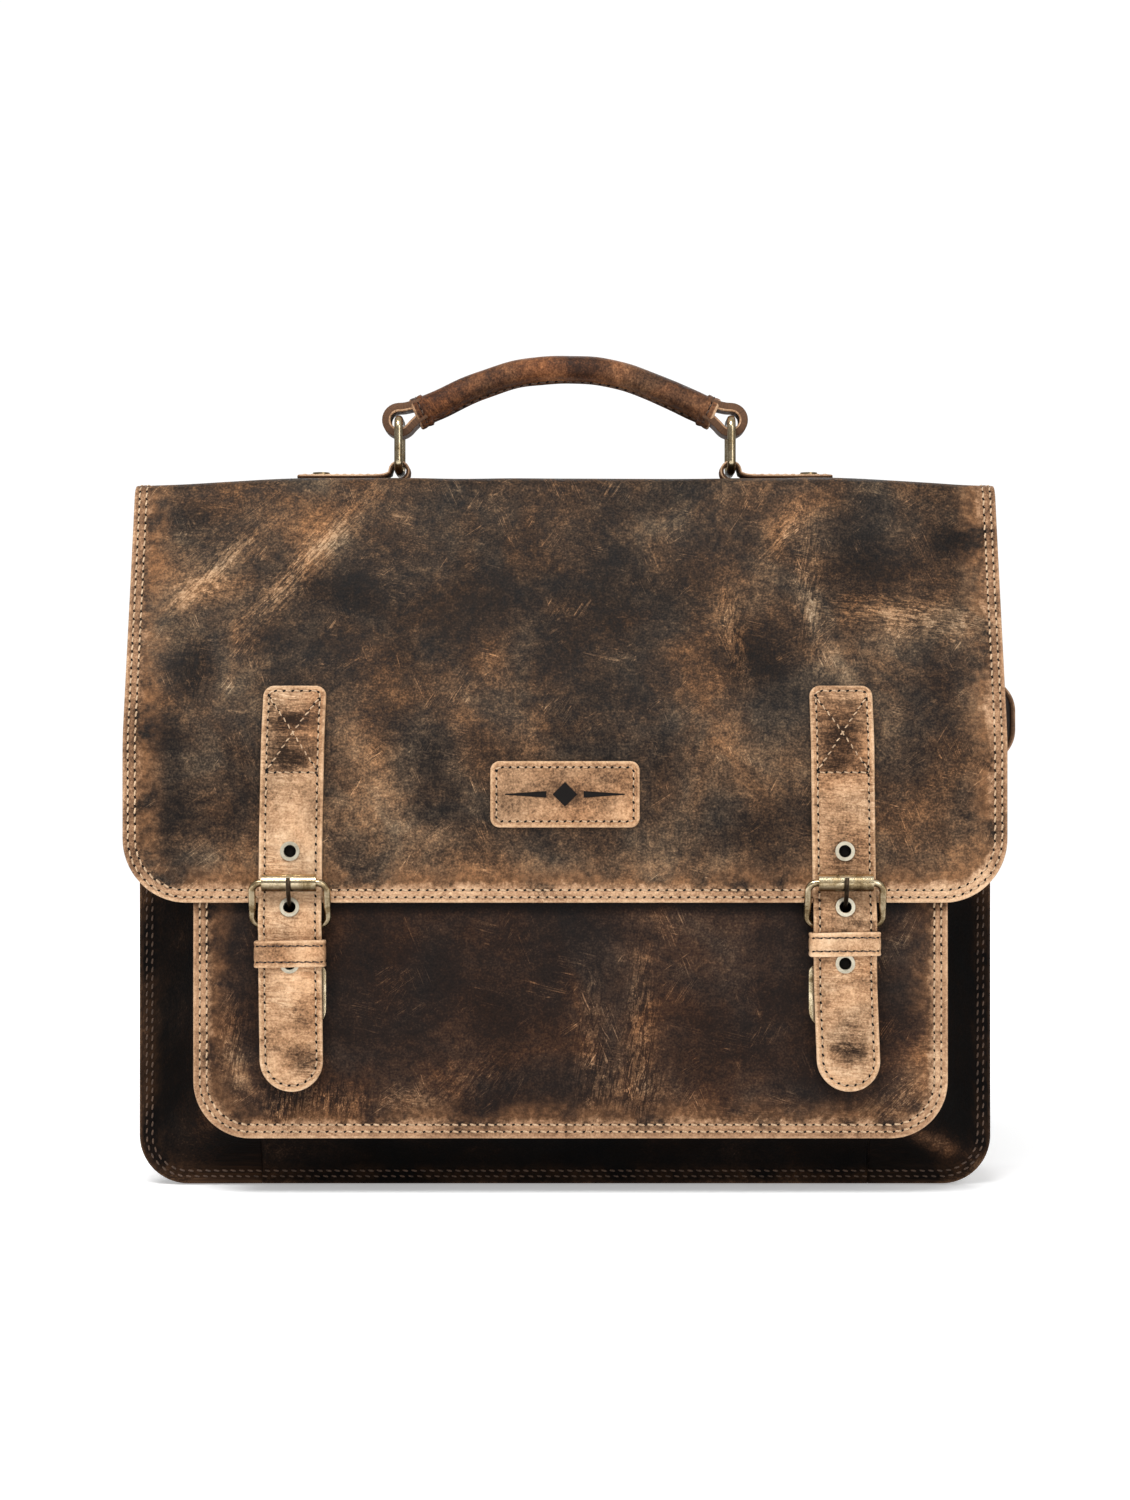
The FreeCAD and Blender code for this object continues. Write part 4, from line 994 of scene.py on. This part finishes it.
for side, _ in SIDES:
    make_strap(side)
    make_keeper(side)


# ---------------------------------------------------------------- front pocket

POCKET_X, POCKET_HALF, POCKET_TOP, POCKET_LOW, POCKET_CORNER = 2.5, 171.0, 180.0, 24.0, 26.0
POCKET_TALL = POCKET_TOP - POCKET_LOW
POCKET_SPOTS = [
    (-151, 62, 26, 3, -62, 0.34), (-146, 50, 20, 3, -40, 0.26), (-155, 86, 26, 4, -75, 0.22),
    (-128, 36, 9, 4, 70, 0.26), (-112, 38, 12, 3, 80, 0.22), (-96, 38, 12, 4, 65, 0.24),
    (-70, 40, 14, 6, 0, 0.16),
    (-40, 55, 26, 12, 25, 0.12), (10, 60, 6, 30, 0, 0.16), (34, 80, 5, 32, 0, 0.18),
    (30, 46, 16, 9, 0, 0.18),
    (160, 58, 9, 16, 0, 0.42), (150, 40, 22, 5, 25, 0.26), (145, 100, 14, 26, 0, 0.08),
    (165, 90, 5, 40, 0, 0.20),
    (75, 44, 40, 8, 0, 0.10), (115, 60, 14, 30, 0, -0.22), (-20, 95, 40, 26, 0, -0.10),
    (62, 66, 26, 16, 0, -0.14),
    (-95, 90, 22, 20, 0, -0.08), (-30, 33, 120, 4, 0, 0.16), (100, 33, 60, 4, 0, 0.18),
    (-165, 90, 4, 50, 0, 0.16),
    (40, 112, 30, 9, 0, 0.05),
]
CLASPS = ((-123.2, 88.0), (125.4, 88.0))      # x and z of the plates on the pocket


def pocket_tone(x, s):
    z = POCKET_TOP - s
    border = np.maximum(smooth(np.abs(x - POCKET_X), 162, 166),
                        1 - smooth(z, POCKET_LOW + 6, POCKET_LOW + 10))
    # painted shadow of the flap: dark from just below its lower edge upwards, a third as dark higher up
    # under it
    flap_edge_shadow = smooth(z, 126.5, 129) * (1 - 0.65 * smooth(z, 132, 150))
    noise = value_noise(x, z, 38, 11) * 0.08 + value_noise(x, z, 15, 12) * 0.05
    return blobs(x, z, POCKET_SPOTS) + noise - 0.02 + border * 0.08 - 0.55 * flap_edge_shadow


def pocket_lift(x, s, distance):
    """A soft belly with dents and creases, flat under the flap's edge and under the two clasps."""
    z = POCKET_TOP - s
    inside = smooth(distance, 7, 30)
    for clasp_x, clasp_z in CLASPS:
        inside = inside * smooth(np.maximum(np.abs(x + POCKET_X - clasp_x), np.abs(z - clasp_z)), 16, 30)
    under_flap = smooth(z, 92, 128)
    belly = 1.3 * inside * (1 - under_flap) - 0.5 * under_flap
    border = groove(distance, (3.1, 6.2)) + 0.22 * bell(distance - 4.65, 1.4)
    dents = value_noise(x, z, 52, 14) * 0.7 + value_noise(x, z, 21, 15) * 0.25
    ridges = bands(x, z, POCKET_BANDS).sum(-1) * 0.4
    return belly + (dents + ridges) * inside * (1 - 0.8 * smooth(z, 95, 130)) + border


def make_pocket():
    path = Path([(-47.8, POCKET_TOP), (-47.8, POCKET_LOW)])
    panel = sheet_piece("pocket_panel_hide", path, (POCKET_HALF, 0, POCKET_TALL, 0, POCKET_CORNER), 0.0, 2.2,
                        ("pocket_hide", "suede", "cut_edge"), 2.6, 0.6, 1.1, pocket_lift, pocket_tone,
                        lambda x, s: bands(x, POCKET_TOP - s, POCKET_BANDS), (1.1, 0.9), centre=POCKET_X)
    place(panel, "bag_body", "brown_leather", "pocket_panel")
    rows = border_rows(path, (POCKET_HALF, 0, POCKET_TALL, 0.3, POCKET_CORNER), (3.1, 6.2), 2.0,
                       (4.0, 0.9, 0.48, 0.32), open_top=True, step=1.2, centre=POCKET_X)
    place(join("pocket_stitches", rows), "bag_body", "brown_leather")


make_pocket()

BODY_HALF, BODY_CORNER, BODY_TOP = 198.25, 22.6, 300.0
SEAMS = (-141.0, 141.0)
# share of the way to the bag's outline, inset from the pocket's, inset from the bag's, and depth
GUSSET_RINGS = [
    (0, 1.0, 0, -47.78), (0, 0.55, 0, -47.3), (0, 0.6, 0, -46.5), (0, 1.0, 0, -46.15), (0, 6.6, 0, -46.0),
    (0, 7.9, 0, -45.3), (0, 8.4, 0, -43.8), (0, 8.2, 0, -40), (0, 7.2, 0, -34), (0.03, 5.4, 0, -28),
    (0.09, 3.2, 0, -22.5), (0.2, 1.2, 0, -17.8), (0.36, 0, 2, -13.6), (0.54, 0, 1.2, -11.1),
    (0.72, 0, 0.6, -10.0),
    (0.84, 0, 0.3, -10.0), (0.93, 0, 0.1, -9.9), (1, 0, 1.2, -9.75), (1, 0, 0.5, -9.6), (1, 0, 0.1, -9.3),
    (1, 0, 0.0, -8.9), (1, 0, 0.1, -8.4), (1, 0, 0.6, -8.1), (0.9, 0, 0.3, -8.05), (0.72, 0, 0.6, -8.1),
    (0.5, 0, 1.2, -9.2), (0.33, 0, 2.8, -11.8), (0.17, 2.6, 0, -16.4), (0.06, 4.8, 0, -21.6),
    (0.0, 7.0, 0, -28), (0, 8.8, 0, -34), (0, 9.8, 0, -40), (0, 9.95, 0, -44.6), (0, 9.4, 0, -46.6),
    (0, 8.0, 0, -47.7),
]
# distance of each of those rings from the rim's cut edge, where it is near
RIM_DISTANCES = [99] * 12 + [20, 14, 9, 6.5, 3.5, 1.2, 0.5, 0.1, 0, 0.1, 0.6, 3.5, 9] + [99] * 10
RIM_SPOTS = [(-188, 105, 6, 30, 0, 0.12), (-175, 20, 20, 9, 40, 0.16), (178, 16, 20, 7, -30, 0.34),
             (160, 22, 22, 4, -20, 0.26), (-120, 12, 30, 4, 0, 0.10)]


def blended_ring(share, inset, outset, y):
    """A U between the pocket's outline, inset, and the bag's outline, outset inside it, at depth y."""
    shifted = [seam - POCKET_X for seam in SEAMS]
    a = u_loop(POCKET_HALF - inset, POCKET_LOW + inset, POCKET_TOP, POCKET_CORNER - inset,
               shifted) + (POCKET_X, 0)
    b = u_loop(BODY_HALF - outset, outset + FLOOR, POCKET_TOP, BODY_CORNER - outset, SEAMS)
    return at_depth(a * (1 - share) + b * share, y)


def rim_tone(rings):
    x, z = rings[..., 0], rings[..., 2]
    return blobs(x, z, RIM_SPOTS) + value_noise(x, z, 22, 31) * 0.08 - 0.10


def make_pocket_gusset():
    """The pocket's gusset, with soft dents in its wall."""
    rings = np.array([blended_ring(*row) for row in GUSSET_RINGS])
    x, y, z = (rings[..., k] for k in range(3))
    deep = smooth(y, -44, -34) * (1 - smooth(y, -14, -9.7))
    rings[..., 1] = y + value_noise(x + z, y * 2, 36, 21) * 0.9 * deep
    make_gusset("pocket", rings, ("dark_hide", "dark_edge"), rim_tone, RIM_DISTANCES, (0, 0.7, 1.4))


def rim_stitches(name, rows, way, top):
    """Rows along the bag's U-shaped rim, each (inset, depth), facing way (-1 front, 1 back)."""
    made = []
    for (inset, y), facing in zip(rows, way):
        points = at_depth(u_loop(BODY_HALF - inset, FLOOR + inset, top, BODY_CORNER - inset), y)
        normals = np.tile((0, facing, 0), (len(points), 1))
        made.append(stitches("row", points, normals, 4.0, 0.9, 0.44, 0.3, "dark_thread"))
    place(join(name, made), "bag_body", "gusset_leather")


make_pocket_gusset()
rim_stitches("rim_stitches_front", ((3.5, -9.75), (6.1, -9.85)), (-1, -1), POCKET_TOP)


# ---------------------------------------------------------------- main compartment

# inset from the bag's outline, and depth
MAIN_RINGS = [
    (0.6, -5.98), (0.1, -5.7), (0.0, -5.2), (0.1, -4.7), (0.6, -4.42), (5.6, -4.3), (6.9, -3.9), (7.7, -3.0),
    (8.0, -1.6), (8.1, 4), (8.2, 12), (8.2, 20), (8.2, 30), (8.2, 40), (8.2, 50), (8.1, 58), (8.0, 60.8),
    (7.7, 62.2), (6.9, 63.1), (5.6, 63.4), (0.6, 63.5), (0.1, 63.8), (0.0, 64.3), (0.1, 64.8), (0.6, 65.05),
    (6.5, 65.0), (8.6, 64.2), (9.7, 62.2), (9.9, 58), (9.95, 40), (9.95, 20), (9.9, 0), (9.7, -3.2),
    (8.6, -5.2), (6.5, -5.95),
]
REAR_FOLD = {"start": (0, 0.067, 0.313), "end": (0, 0.054, 0.3295)}
BACK_SPOTS = [(-60, 120, 60, 30, 20, 0.14), (80, 200, 50, 40, 0, 0.12), (10, 260, 90, 20, 0, -0.14)]


def make_front_panel():
    path = Path([(-6, BODY_TOP), (-6, FLOOR)])
    front = sheet_piece("front_panel_hide", path, (BODY_HALF, 0, path.length, 0, BODY_CORNER), 0.0, 1.95,
                        ("dark_hide", "suede", "dark_edge"), 5, 1.2, 0.9,
                        tone=lambda x, s: value_noise(x, s, 40, 17) * 0.1, shift=(2.1, 0.3))
    place(front, "bag_body", "brown_leather", "front_panel")
    x = np.linspace(-BODY_HALF + 6, BODY_HALF - 6, 260)
    lines = [(x, np.full_like(x, 4.0))]
    s = np.linspace(1, BODY_TOP - POCKET_TOP, 120)
    lines += [(np.full_like(s, sign * (BODY_HALF - inset)), s)
              for sign, inset in ((-1, 3.5), (-1, 6.1), (1, 6.1), (1, 3.5))]
    rows = [stitches("row", *surface_line(path, *line, 1.95), *HEAVY, "dark_thread") for line in lines]
    place(join("front_panel_stitches", rows), "bag_body", "brown_leather")


def make_main_gusset():
    rings = np.array([at_depth(u_loop(BODY_HALF - inset, FLOOR + inset, BODY_TOP, BODY_CORNER - inset,
                                      SEAMS), y)
                      for inset, y in MAIN_RINGS])
    distances = [inset if y < -4.2 or y > 63.2 else 99 for inset, y in MAIN_RINGS]
    make_gusset("main", rings, ("back_hide", "cut_edge"),
                lambda r: value_noise(r[..., 1], r[..., 2] + r[..., 0], 25, 41) * 0.12 - 0.02, distances,
                (3.0, 3.8, 4.4))
    rim_stitches("rim_stitches_gusset", ((3.5, -4.3), (6.0, -4.25), (3.5, 63.45), (6.0, 63.4)),
                 (1, 1, -1, -1),
                 BODY_TOP)


def back_tone(x, s):
    return value_noise(x, s, 60, 51) * 0.10 + value_noise(x, s, 24, 52) * 0.06 + blobs(x, s, BACK_SPOTS)


def back_lift(x, s, distance):
    inside = smooth(distance, 8, 40) * smooth(s, 40, 70)
    return (value_noise(x, s, 70, 55) * 0.5 - 0.5) * inside + groove(distance, (3.5, 6.1), 0.25)


def make_back():
    """The back panel, which turns over the rear top edge and ends under the flap."""
    level = HINGE_Z - 0.65
    path = Path([(42, level), (66.0, level), (66.0, FLOOR)], [0, 6.5, 0])
    back = sheet_piece("back_hide", path, (BODY_HALF, 0, path.length, 0, BODY_CORNER), -0.85, 1.7,
                       ("back_hide", "suede", "cut_edge"), 4, 1.0, 0.8, back_lift, back_tone,
                       shift=(4.1, 0.6), out=-1)
    bend(back, ("bag_body", "flap_top"), REAR_FOLD, "brown_leather", "back_panel")
    rows = border_rows(path, (BODY_HALF, 0, path.length, 0.3, BODY_CORNER), (3.5, 6.1), 0.72, HEAVY,
                       open_top=True,
                       step=1.5, skip=14, out=-1)
    bend(join("back_stitches", rows), ("bag_body", "flap_top"), REAR_FOLD, "tan_leather")


make_front_panel()
make_main_gusset()
make_back()

LINING_HALF, LINING_LOW, LINING_TOP, LINING_CORNER, LINING_THICK = BODY_HALF - 10.5, 8.5, 294.0, 12.0, 0.8
# inset from the lining's outline, and depth, over the front wall, the bottom and the back wall
LINING_STEPS = [(LINING_HALF, -5.3)] + [(inset, -5.3) for inset in (150, 110, 70, 40, 20)]
LINING_STEPS += [(10, -5.2), (4, -5.0), (1.6, -4.4), (0.4, -3.2), (0, -1.6)]
LINING_STEPS += [(0, 8), (0, 18), (0, 28), (0, 38), (0, 48), (0, 57.5), (0.4, 59.2), (1.6, 60.5),
                 (4, 61.2), (10, 61.5)]
LINING_STEPS += [(inset, 61.6) for inset in (20, 40, 70, 110, 150, LINING_HALF)]


def lining_skin(shrink):
    """The lining's outer skin, or its inner one shrunk by the canvas's thickness."""
    rings = []
    for inset, y in LINING_STEPS:
        depth = y + (shrink if y < 20 else -shrink if y > 40 else 0)
        inset = min(inset + shrink, LINING_HALF - 0.04)
        loop = u_loop(LINING_HALF - inset, LINING_LOW + inset, LINING_TOP, LINING_CORNER - inset)
        rings.append(at_depth(loop, depth))
    rings = np.array(rings)
    x, y, z = (rings[..., k] for k in range(3))
    inside = smooth(LINING_HALF - np.abs(x), 2, 30) * smooth(z - LINING_LOW, 2, 30)
    billow = 1.3 + 1.1 * value_noise(x, z, 55, 61) + 0.5 * value_noise(x, z, 23, 62)
    rings[..., 1] = y + np.where(y < 25, 1.0, -1.0) * inside * billow
    return rings


def make_lining():
    """The canvas tub sewn inside the main compartment."""
    outer, inner = lining_skin(0.0), lining_skin(LINING_THICK)
    a = np.arange(outer.size // 3).reshape(outer.shape[:2])
    b = a + a.size
    faces = grid_faces(a) + grid_faces(b[:, ::-1])
    for e in (0, -1):
        faces += grid_faces(np.stack([a[:, e], b[:, e]], 1))
    points = np.concatenate([outer.reshape(-1, 3), inner.reshape(-1, 3)])
    x, y, z = points.T
    places = np.stack([x + y, z - y, 0 * x], 1) * MM
    item = make_mesh("lining_canvas", points, faces, ("canvas",), merge=0.15, lp=places)
    return place(item, "bag_body", "lining", "main_lining")


lining = make_lining()


def divider_lift(x, s, distance):
    """A foam pad, full in the middle, that thins to its bound edge and is quilted in three fields."""
    full = smooth(distance, 0.5, 26) * 2.3
    quilt = sum(bell(x - c, 3.2) for c in (-60.0, 60.0)) * 1.2 * smooth(distance, 6, 20)
    waves = value_noise(x, s, 40, 71) * 0.3 * smooth(distance, 6, 30)
    return full - quilt + waves - 0.25 * bell(distance - 6, 0.9)


def make_divider():
    path = Path([(41, 262), (41, 9.8)])
    outline = (181, 0, path.length, 12, 12)
    pad = sheet_piece("divider_pad", path, outline, -0.9, 1.8, ("canvas", "canvas", "cut_edge"), 4, 1.0, 0.9,
                      divider_lift, shift=(0.2, 0.1), mirror=True)
    place(pad, "bag_body", "divider", "padded_divider")
    place(join("divider_stitches", border_rows(path, outline, (6,), 0.95, HEAVY)), "bag_body", "divider")
    return pad


make_divider()


# ---------------------------------------------------------------- side loops

LOOP_WALL, LOOP_BOW, LOOP_Y, LOOP_HALF = 191.35, {"left": 208.4, "right": 212.9}, 29.5, 11


def make_side_loop(side, sign):
    """A strip that bows away from the gusset between its two sewn feet."""
    wall, bow = sign * LOOP_WALL, sign * LOOP_BOW[side]
    path = Path([(wall, 256), (wall, 245), (bow, 225), (bow, 203), (wall, 183), (wall, 172)],
                [0, 5, 15, 15, 5, 0])
    where = {"centre": LOOP_Y, "order": (1, 0, 2), "out": -sign}
    strip = sheet_piece("side_loop_%s_leather" % side, path, (LOOP_HALF, 0, path.length, 3, 3), -1.1, 2.2,
                        RUSSET_STRIP, 1.4, 0.5, 0.9, lambda x, s, d: groove(d, (2.4,), 0.25),
                        lambda x, s: value_noise(x, s, 11, 81) * 0.15 - 0.22, shift=(5.0 + sign * 0.1, 0),
                        **where)
    place(strip, "bag_body", "russet_leather", "side_loop_" + side)
    rows = []
    for start, end in ((0, 10), (path.length - 10, path.length)):
        rows += border_rows(path, (LOOP_HALF, start, end, 1, 1), (2.3,), 1.0, (3.2, 0.8, 0.33, 0.3),
                            step=0.8, **where)
    place(join("side_loop_%s_stitches" % side, rows), "bag_body", "russet_leather")


for side, sign in SIDES:
    make_side_loop(side, sign)


# ---------------------------------------------------------------- handle

HANDLE_Y, GRIP_END, GRIP_LEAN, BAND_HALF = 22.0, 71.5, math.radians(24.5), 8.25
GRIP_RADIUS, GRIP_HALF_WIDE, GRIP_HALF_TALL = 108.5, 9.0, 6.5
APEX = 273.4 + GRIP_RADIUS / math.cos(GRIP_LEAN)
END_Z = APEX - GRIP_END * math.tan(GRIP_LEAN)
SLEEVE_ROW = 3.6        # from the grip's end to the stitching round it
RING_X, TAB_LOOP_Z, TAB_LOOP_RADIUS = 78.6, 332.2, 4.3
grip_path = Path([(-GRIP_END, END_Z), (0, APEX), (GRIP_END, END_Z)], [0, GRIP_RADIUS, 0])
GRIP_LENGTH = grip_path.length
GRIP_SPOTS = [(30, 20, 20, 8, 0, 0.24), (95, 22, 16, 8, 0, 0.2), (64, 16, 20, 8, 0, -0.12),
              (130, 20, 14, 10, 0, -0.1), (6, 20, 5, 30, 0, 0.10), (150, 20, 5, 30, 0, 0.10)]


def grip_section(s):
    """The padded grip's section, with a sewn ridge below it and a folded sleeve at each end."""
    angles = np.radians(np.arange(0, 360, 7.5) - 90)
    from_end = np.minimum(s, GRIP_LENGTH - s)
    full = 0.95 - 0.05 * smooth(from_end, 8, 45)
    sleeve = 0.9 * (1 - smooth(from_end, 6.2, 6.9)) - 0.5 * (1 - smooth(from_end, 0.0, 0.8))
    sleeve = sleeve - 0.35 * bell(from_end - SLEEVE_ROW, 0.8)
    ridge = 1.5 * (bell(angles + math.pi / 2, 0.13) + bell(angles - 1.5 * math.pi, 0.13))
    c, n = np.cos(angles), np.sin(angles)
    y = np.sign(c) * np.abs(c) ** 0.9 * (GRIP_HALF_WIDE * full + sleeve)
    up = np.sign(n) * np.abs(n) ** 0.85 * (GRIP_HALF_TALL * full + sleeve)
    wobble = value_noise(np.full_like(angles, s), angles * 6, 13, 91) * 0.32 * smooth(from_end, 6, 12)
    return np.stack([y + wobble * c, up + wobble * n - ridge], 1)


def grip_points(s, section):
    """A section of the grip, carried to its place on the grip's path."""
    point, way = grip_path.at(s)
    up = np.array([-way[1], 0, way[0]])
    return np.array([point[0], HANDLE_Y, point[1]]) + section[:, :1] * (0, 1, 0) + section[:, 1:] * up


def grip_tone(s, girth):
    noise = value_noise(s, girth, 17, 92) * 0.14 + value_noise(s, girth, 7, 93) * 0.06
    return blobs(s, girth, GRIP_SPOTS) + noise


def make_grip():
    """The grip's leather cover, and the stitching along its underside and round its two ends."""
    half = GRIP_LENGTH / 2
    s = np.unique(np.r_[np.arange(0, 1.0, 0.2), np.arange(1, 8, 0.35), np.arange(8, half, 1.6)])
    s = np.r_[s, half, (GRIP_LENGTH - s)[::-1]]
    sections = [grip_section(length) for length in s]
    points = np.array([grip_points(*pair) for pair in zip(s, sections)])
    girth = lengths_along(sections[len(s) // 2])
    index = np.arange(points.size // 3).reshape(points.shape[:2])
    faces = grid_faces(index, close_columns=True) + [index[0, ::-1].tolist(), index[-1].tolist()]
    s = s[:, None]
    grip = grid_mesh("handle_grip_leather", points, faces, ("russet_hide",), girth, s, (6.0, 0.0),
                     grip_tone(s + 0 * girth, girth + 0 * s), np.minimum(s, GRIP_LENGTH - s))
    place(grip, "handle", "russet_leather", "handle_grip")

    rows = []
    s = np.linspace(2, GRIP_LENGTH - 2, 200)
    point, way = grip_path.at(s)
    for face in (-1, 1):
        points = np.stack([point[:, 0] + way[:, 1] * GRIP_HALF_TALL, np.full(len(s), HANDLE_Y + face * 1.35),
                           point[:, 1] - way[:, 0] * GRIP_HALF_TALL], 1)
        normals = np.stack([way[:, 1] * 0.45, np.full(len(s), face * 0.9), -way[:, 0] * 0.45], 1)
        rows.append(stitches("row", points, normals, 4.2, 1.0, 0.36, 0.3, "dark_thread"))
    for s in (SLEEVE_ROW, GRIP_LENGTH - SLEEVE_ROW):
        points = grip_points(s, grip_section(s)[2:-1])
        outward = points - grip_points(s, np.zeros((1, 2)))
        rows.append(stitches("row", points, unit(outward), 3.2, 0.8, 0.36, 0.3, "dark_thread"))
    place(join("handle_grip_stitches", rows), "handle", "russet_leather")
    return grip


def make_handle_end(side, sign):
    """The loop at one end of the grip, and the tab on the flap with its eye, both round the same ring."""
    end = np.array([sign * GRIP_END, END_Z])
    along = np.array([sign * math.cos(GRIP_LEAN), -math.sin(GRIP_LEAN)])
    up = np.array([sign * math.sin(GRIP_LEAN), math.cos(GRIP_LEAN)])
    turn = np.radians(np.linspace(128, -128, 40))
    dots = [(-5, 3.1), (-1.5, 3.3)] + [(8.0 + 6.2 * math.cos(a), -0.4 + 6.2 * math.sin(a)) for a in turn]
    dots += [(-1.5, -3.3), (-5, -3.1)]
    path = Path.through([end + along * u + up * v for u, v in dots], 1.6)
    where = {"centre": HANDLE_Y, "order": (1, 0, 2), "out": sign}
    loop = sheet_piece("handle_loop_%s_leather" % side, path, (BAND_HALF, 0, path.length, 0, 0), -2.0, 4.1,
                       RUSSET_STRIP, 1.2, 0.5, 0.9, tone=lambda x, s: value_noise(x, s, 9, 95) * 0.14,
                       shift=(7 + sign * 0.2, 0), **where)
    place(loop, "handle", "russet_leather", "handle_loop_" + side)

    turn = np.radians(np.linspace(-12, 268, 44))
    dots = [(127, 329.75), (104, 329.75), (90, 329.8), (86, 330.1)]
    dots += [(RING_X + TAB_LOOP_RADIUS * math.cos(a),
              TAB_LOOP_Z + TAB_LOOP_RADIUS * math.sin(a)) for a in turn]
    dots += [(84, 327.95), (104, 327.95), (127, 327.95)]
    path = Path.through([(sign * x, z) for x, z in dots], 0.9)
    tab = sheet_piece("handle_tab_%s_leather" % side, path, (BAND_HALF, 0, path.length, 3, 3), -0.85, 1.7,
                      RUSSET_STRIP, 1.4, 0.5, 0.7, tone=lambda x, s: value_noise(x, s, 9, 97) * 0.14 + 0.06,
                      shift=(8 + sign * 0.2, 0), **where)
    place(tab, "flap_top", "russet_leather", "handle_tab_" + side)
    rows = []
    for y in (-1, 1):
        points = np.linspace((sign * 88, HANDLE_Y + y * (BAND_HALF - 2.3), 330.6),
                             (sign * 125, HANDLE_Y + y * (BAND_HALF - 2.3), 330.6), 60)
        rows.append(stitches("row", points, np.tile((0, 0, 1), (60, 1)), *LIGHT))
    place(join("handle_tab_%s_stitches" % side, rows), "flap_top", "russet_leather")


make_grip()
for side, sign in SIDES:
    make_handle_end(side, sign)


# ---------------------------------------------------------------- finishes of the CAD metalwork and chapes

NODE_FINISHES = (("buckle_prong", "prong_metal"), ("eyelet_", "eyelet_metal"), ("chape_", "chape_hide"),
                 (("buckle_", "handle_ring_", "d_ring_", "clasp_", "tab_rivet_"), "brass"))
for name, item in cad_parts.items():
    kind = next((kind for start, kind in NODE_FINISHES if name.startswith(start)), None)
    if kind:
        item.data.materials.clear()
        item.data.materials.append(MATERIALS[kind])


# ---------------------------------------------------------------- floor, light and camera, in metres

FLOOR_RADIUS, FLOOR_DOTS, FLOOR_GAP = 3.5, 96, 0.0006


def make_floor():
    """A pale round floor that glows a little, more so far from the bag, to meet the white behind it."""
    mesh = bpy.data.meshes.new("floor")
    turn = np.linspace(0, 2 * math.pi, FLOOR_DOTS, endpoint=False)
    ring = [(FLOOR_RADIUS * math.cos(a), FLOOR_RADIUS * math.sin(a), -FLOOR_GAP) for a in turn]
    mesh.from_pydata(ring, [], [list(range(FLOOR_DOTS))])
    t = Material("floor")
    where = t.node("TexCoord").outputs["Object"]
    away = t.node("VectorMath", {0: where}, operation="LENGTH").outputs["Value"]
    t.put(t.shader.inputs["Emission Strength"], t.span(away, 0.35, 1.6, 0.34, 0.85))
    t.finish(t.ramp(t.noise(where, 3, 2), [(0.3, (0.90, 0.90, 0.90)), (0.7, (0.93, 0.93, 0.93))]), 0.9,
             Emission_Color=(1, 1, 1, 1), Specular_IOR_Level=0.1)
    mesh.materials.append(t.material)
    item = bpy.data.objects.new("floor", mesh)
    bpy.context.scene.collection.objects.link(item)
    return item


def area_light(name, place_at, aim, size, power):
    light = bpy.data.lights.new(name, "AREA")
    light.shape = "RECTANGLE"
    light.size, light.size_y = size
    light.energy = power
    item = bpy.data.objects.new(name, light)
    item.location = place_at
    item.rotation_euler = (Vector(aim) - Vector(place_at)).to_track_quat("-Z", "Y").to_euler()
    bpy.context.scene.collection.objects.link(item)


def make_world():
    """White light from all round, weaker from below, and bright where the camera sees it directly."""
    world = bpy.data.worlds.new("studio")
    bpy.context.scene.world = world
    world.use_nodes = True
    t = Tree(world.node_tree)
    height = t.parts(t.node("TexCoord").outputs["Generated"])["Z"]
    ambient = t.span(height, -0.2, 0.9, 0.16, 0.50, "LINEAR")
    seen = t.node("LightPath").outputs["Is Camera Ray"]
    background = t.nodes["Background"].inputs
    t.put(background["Strength"], t.span(seen, 0.0, 1.0, ambient, 1.05, "LINEAR"))
    background["Color"].default_value = (1, 1, 1, 1)


def make_camera():
    camera = bpy.data.cameras.new("camera")
    camera.lens, camera.sensor_width, camera.sensor_fit = 74.4, 36, "AUTO"
    camera.dof.use_dof = False
    camera.clip_start, camera.clip_end = 0.05, 50
    eye = bpy.data.objects.new("camera", camera)
    eye.location, eye.rotation_euler = (0, -1.454, 0.202), (math.pi / 2, 0, 0)
    bpy.context.scene.collection.objects.link(eye)
    bpy.context.scene.camera = eye


make_floor()
area_light("key", (-0.45, -1.15, 1.75), (0, 0, 0.17), (1.2, 0.7), 36)
area_light("fill", (0.9, -1.7, 0.7), (0, 0, 0.17), (0.9, 1.2), 8)
area_light("back", (0.3, 1.6, 1.6), (0, 0, 0.2), (1.6, 1.0), 16)
make_world()
make_camera()
bpy.context.scene.view_settings.view_transform = "Standard"
bpy.context.scene.view_settings.look = "None"
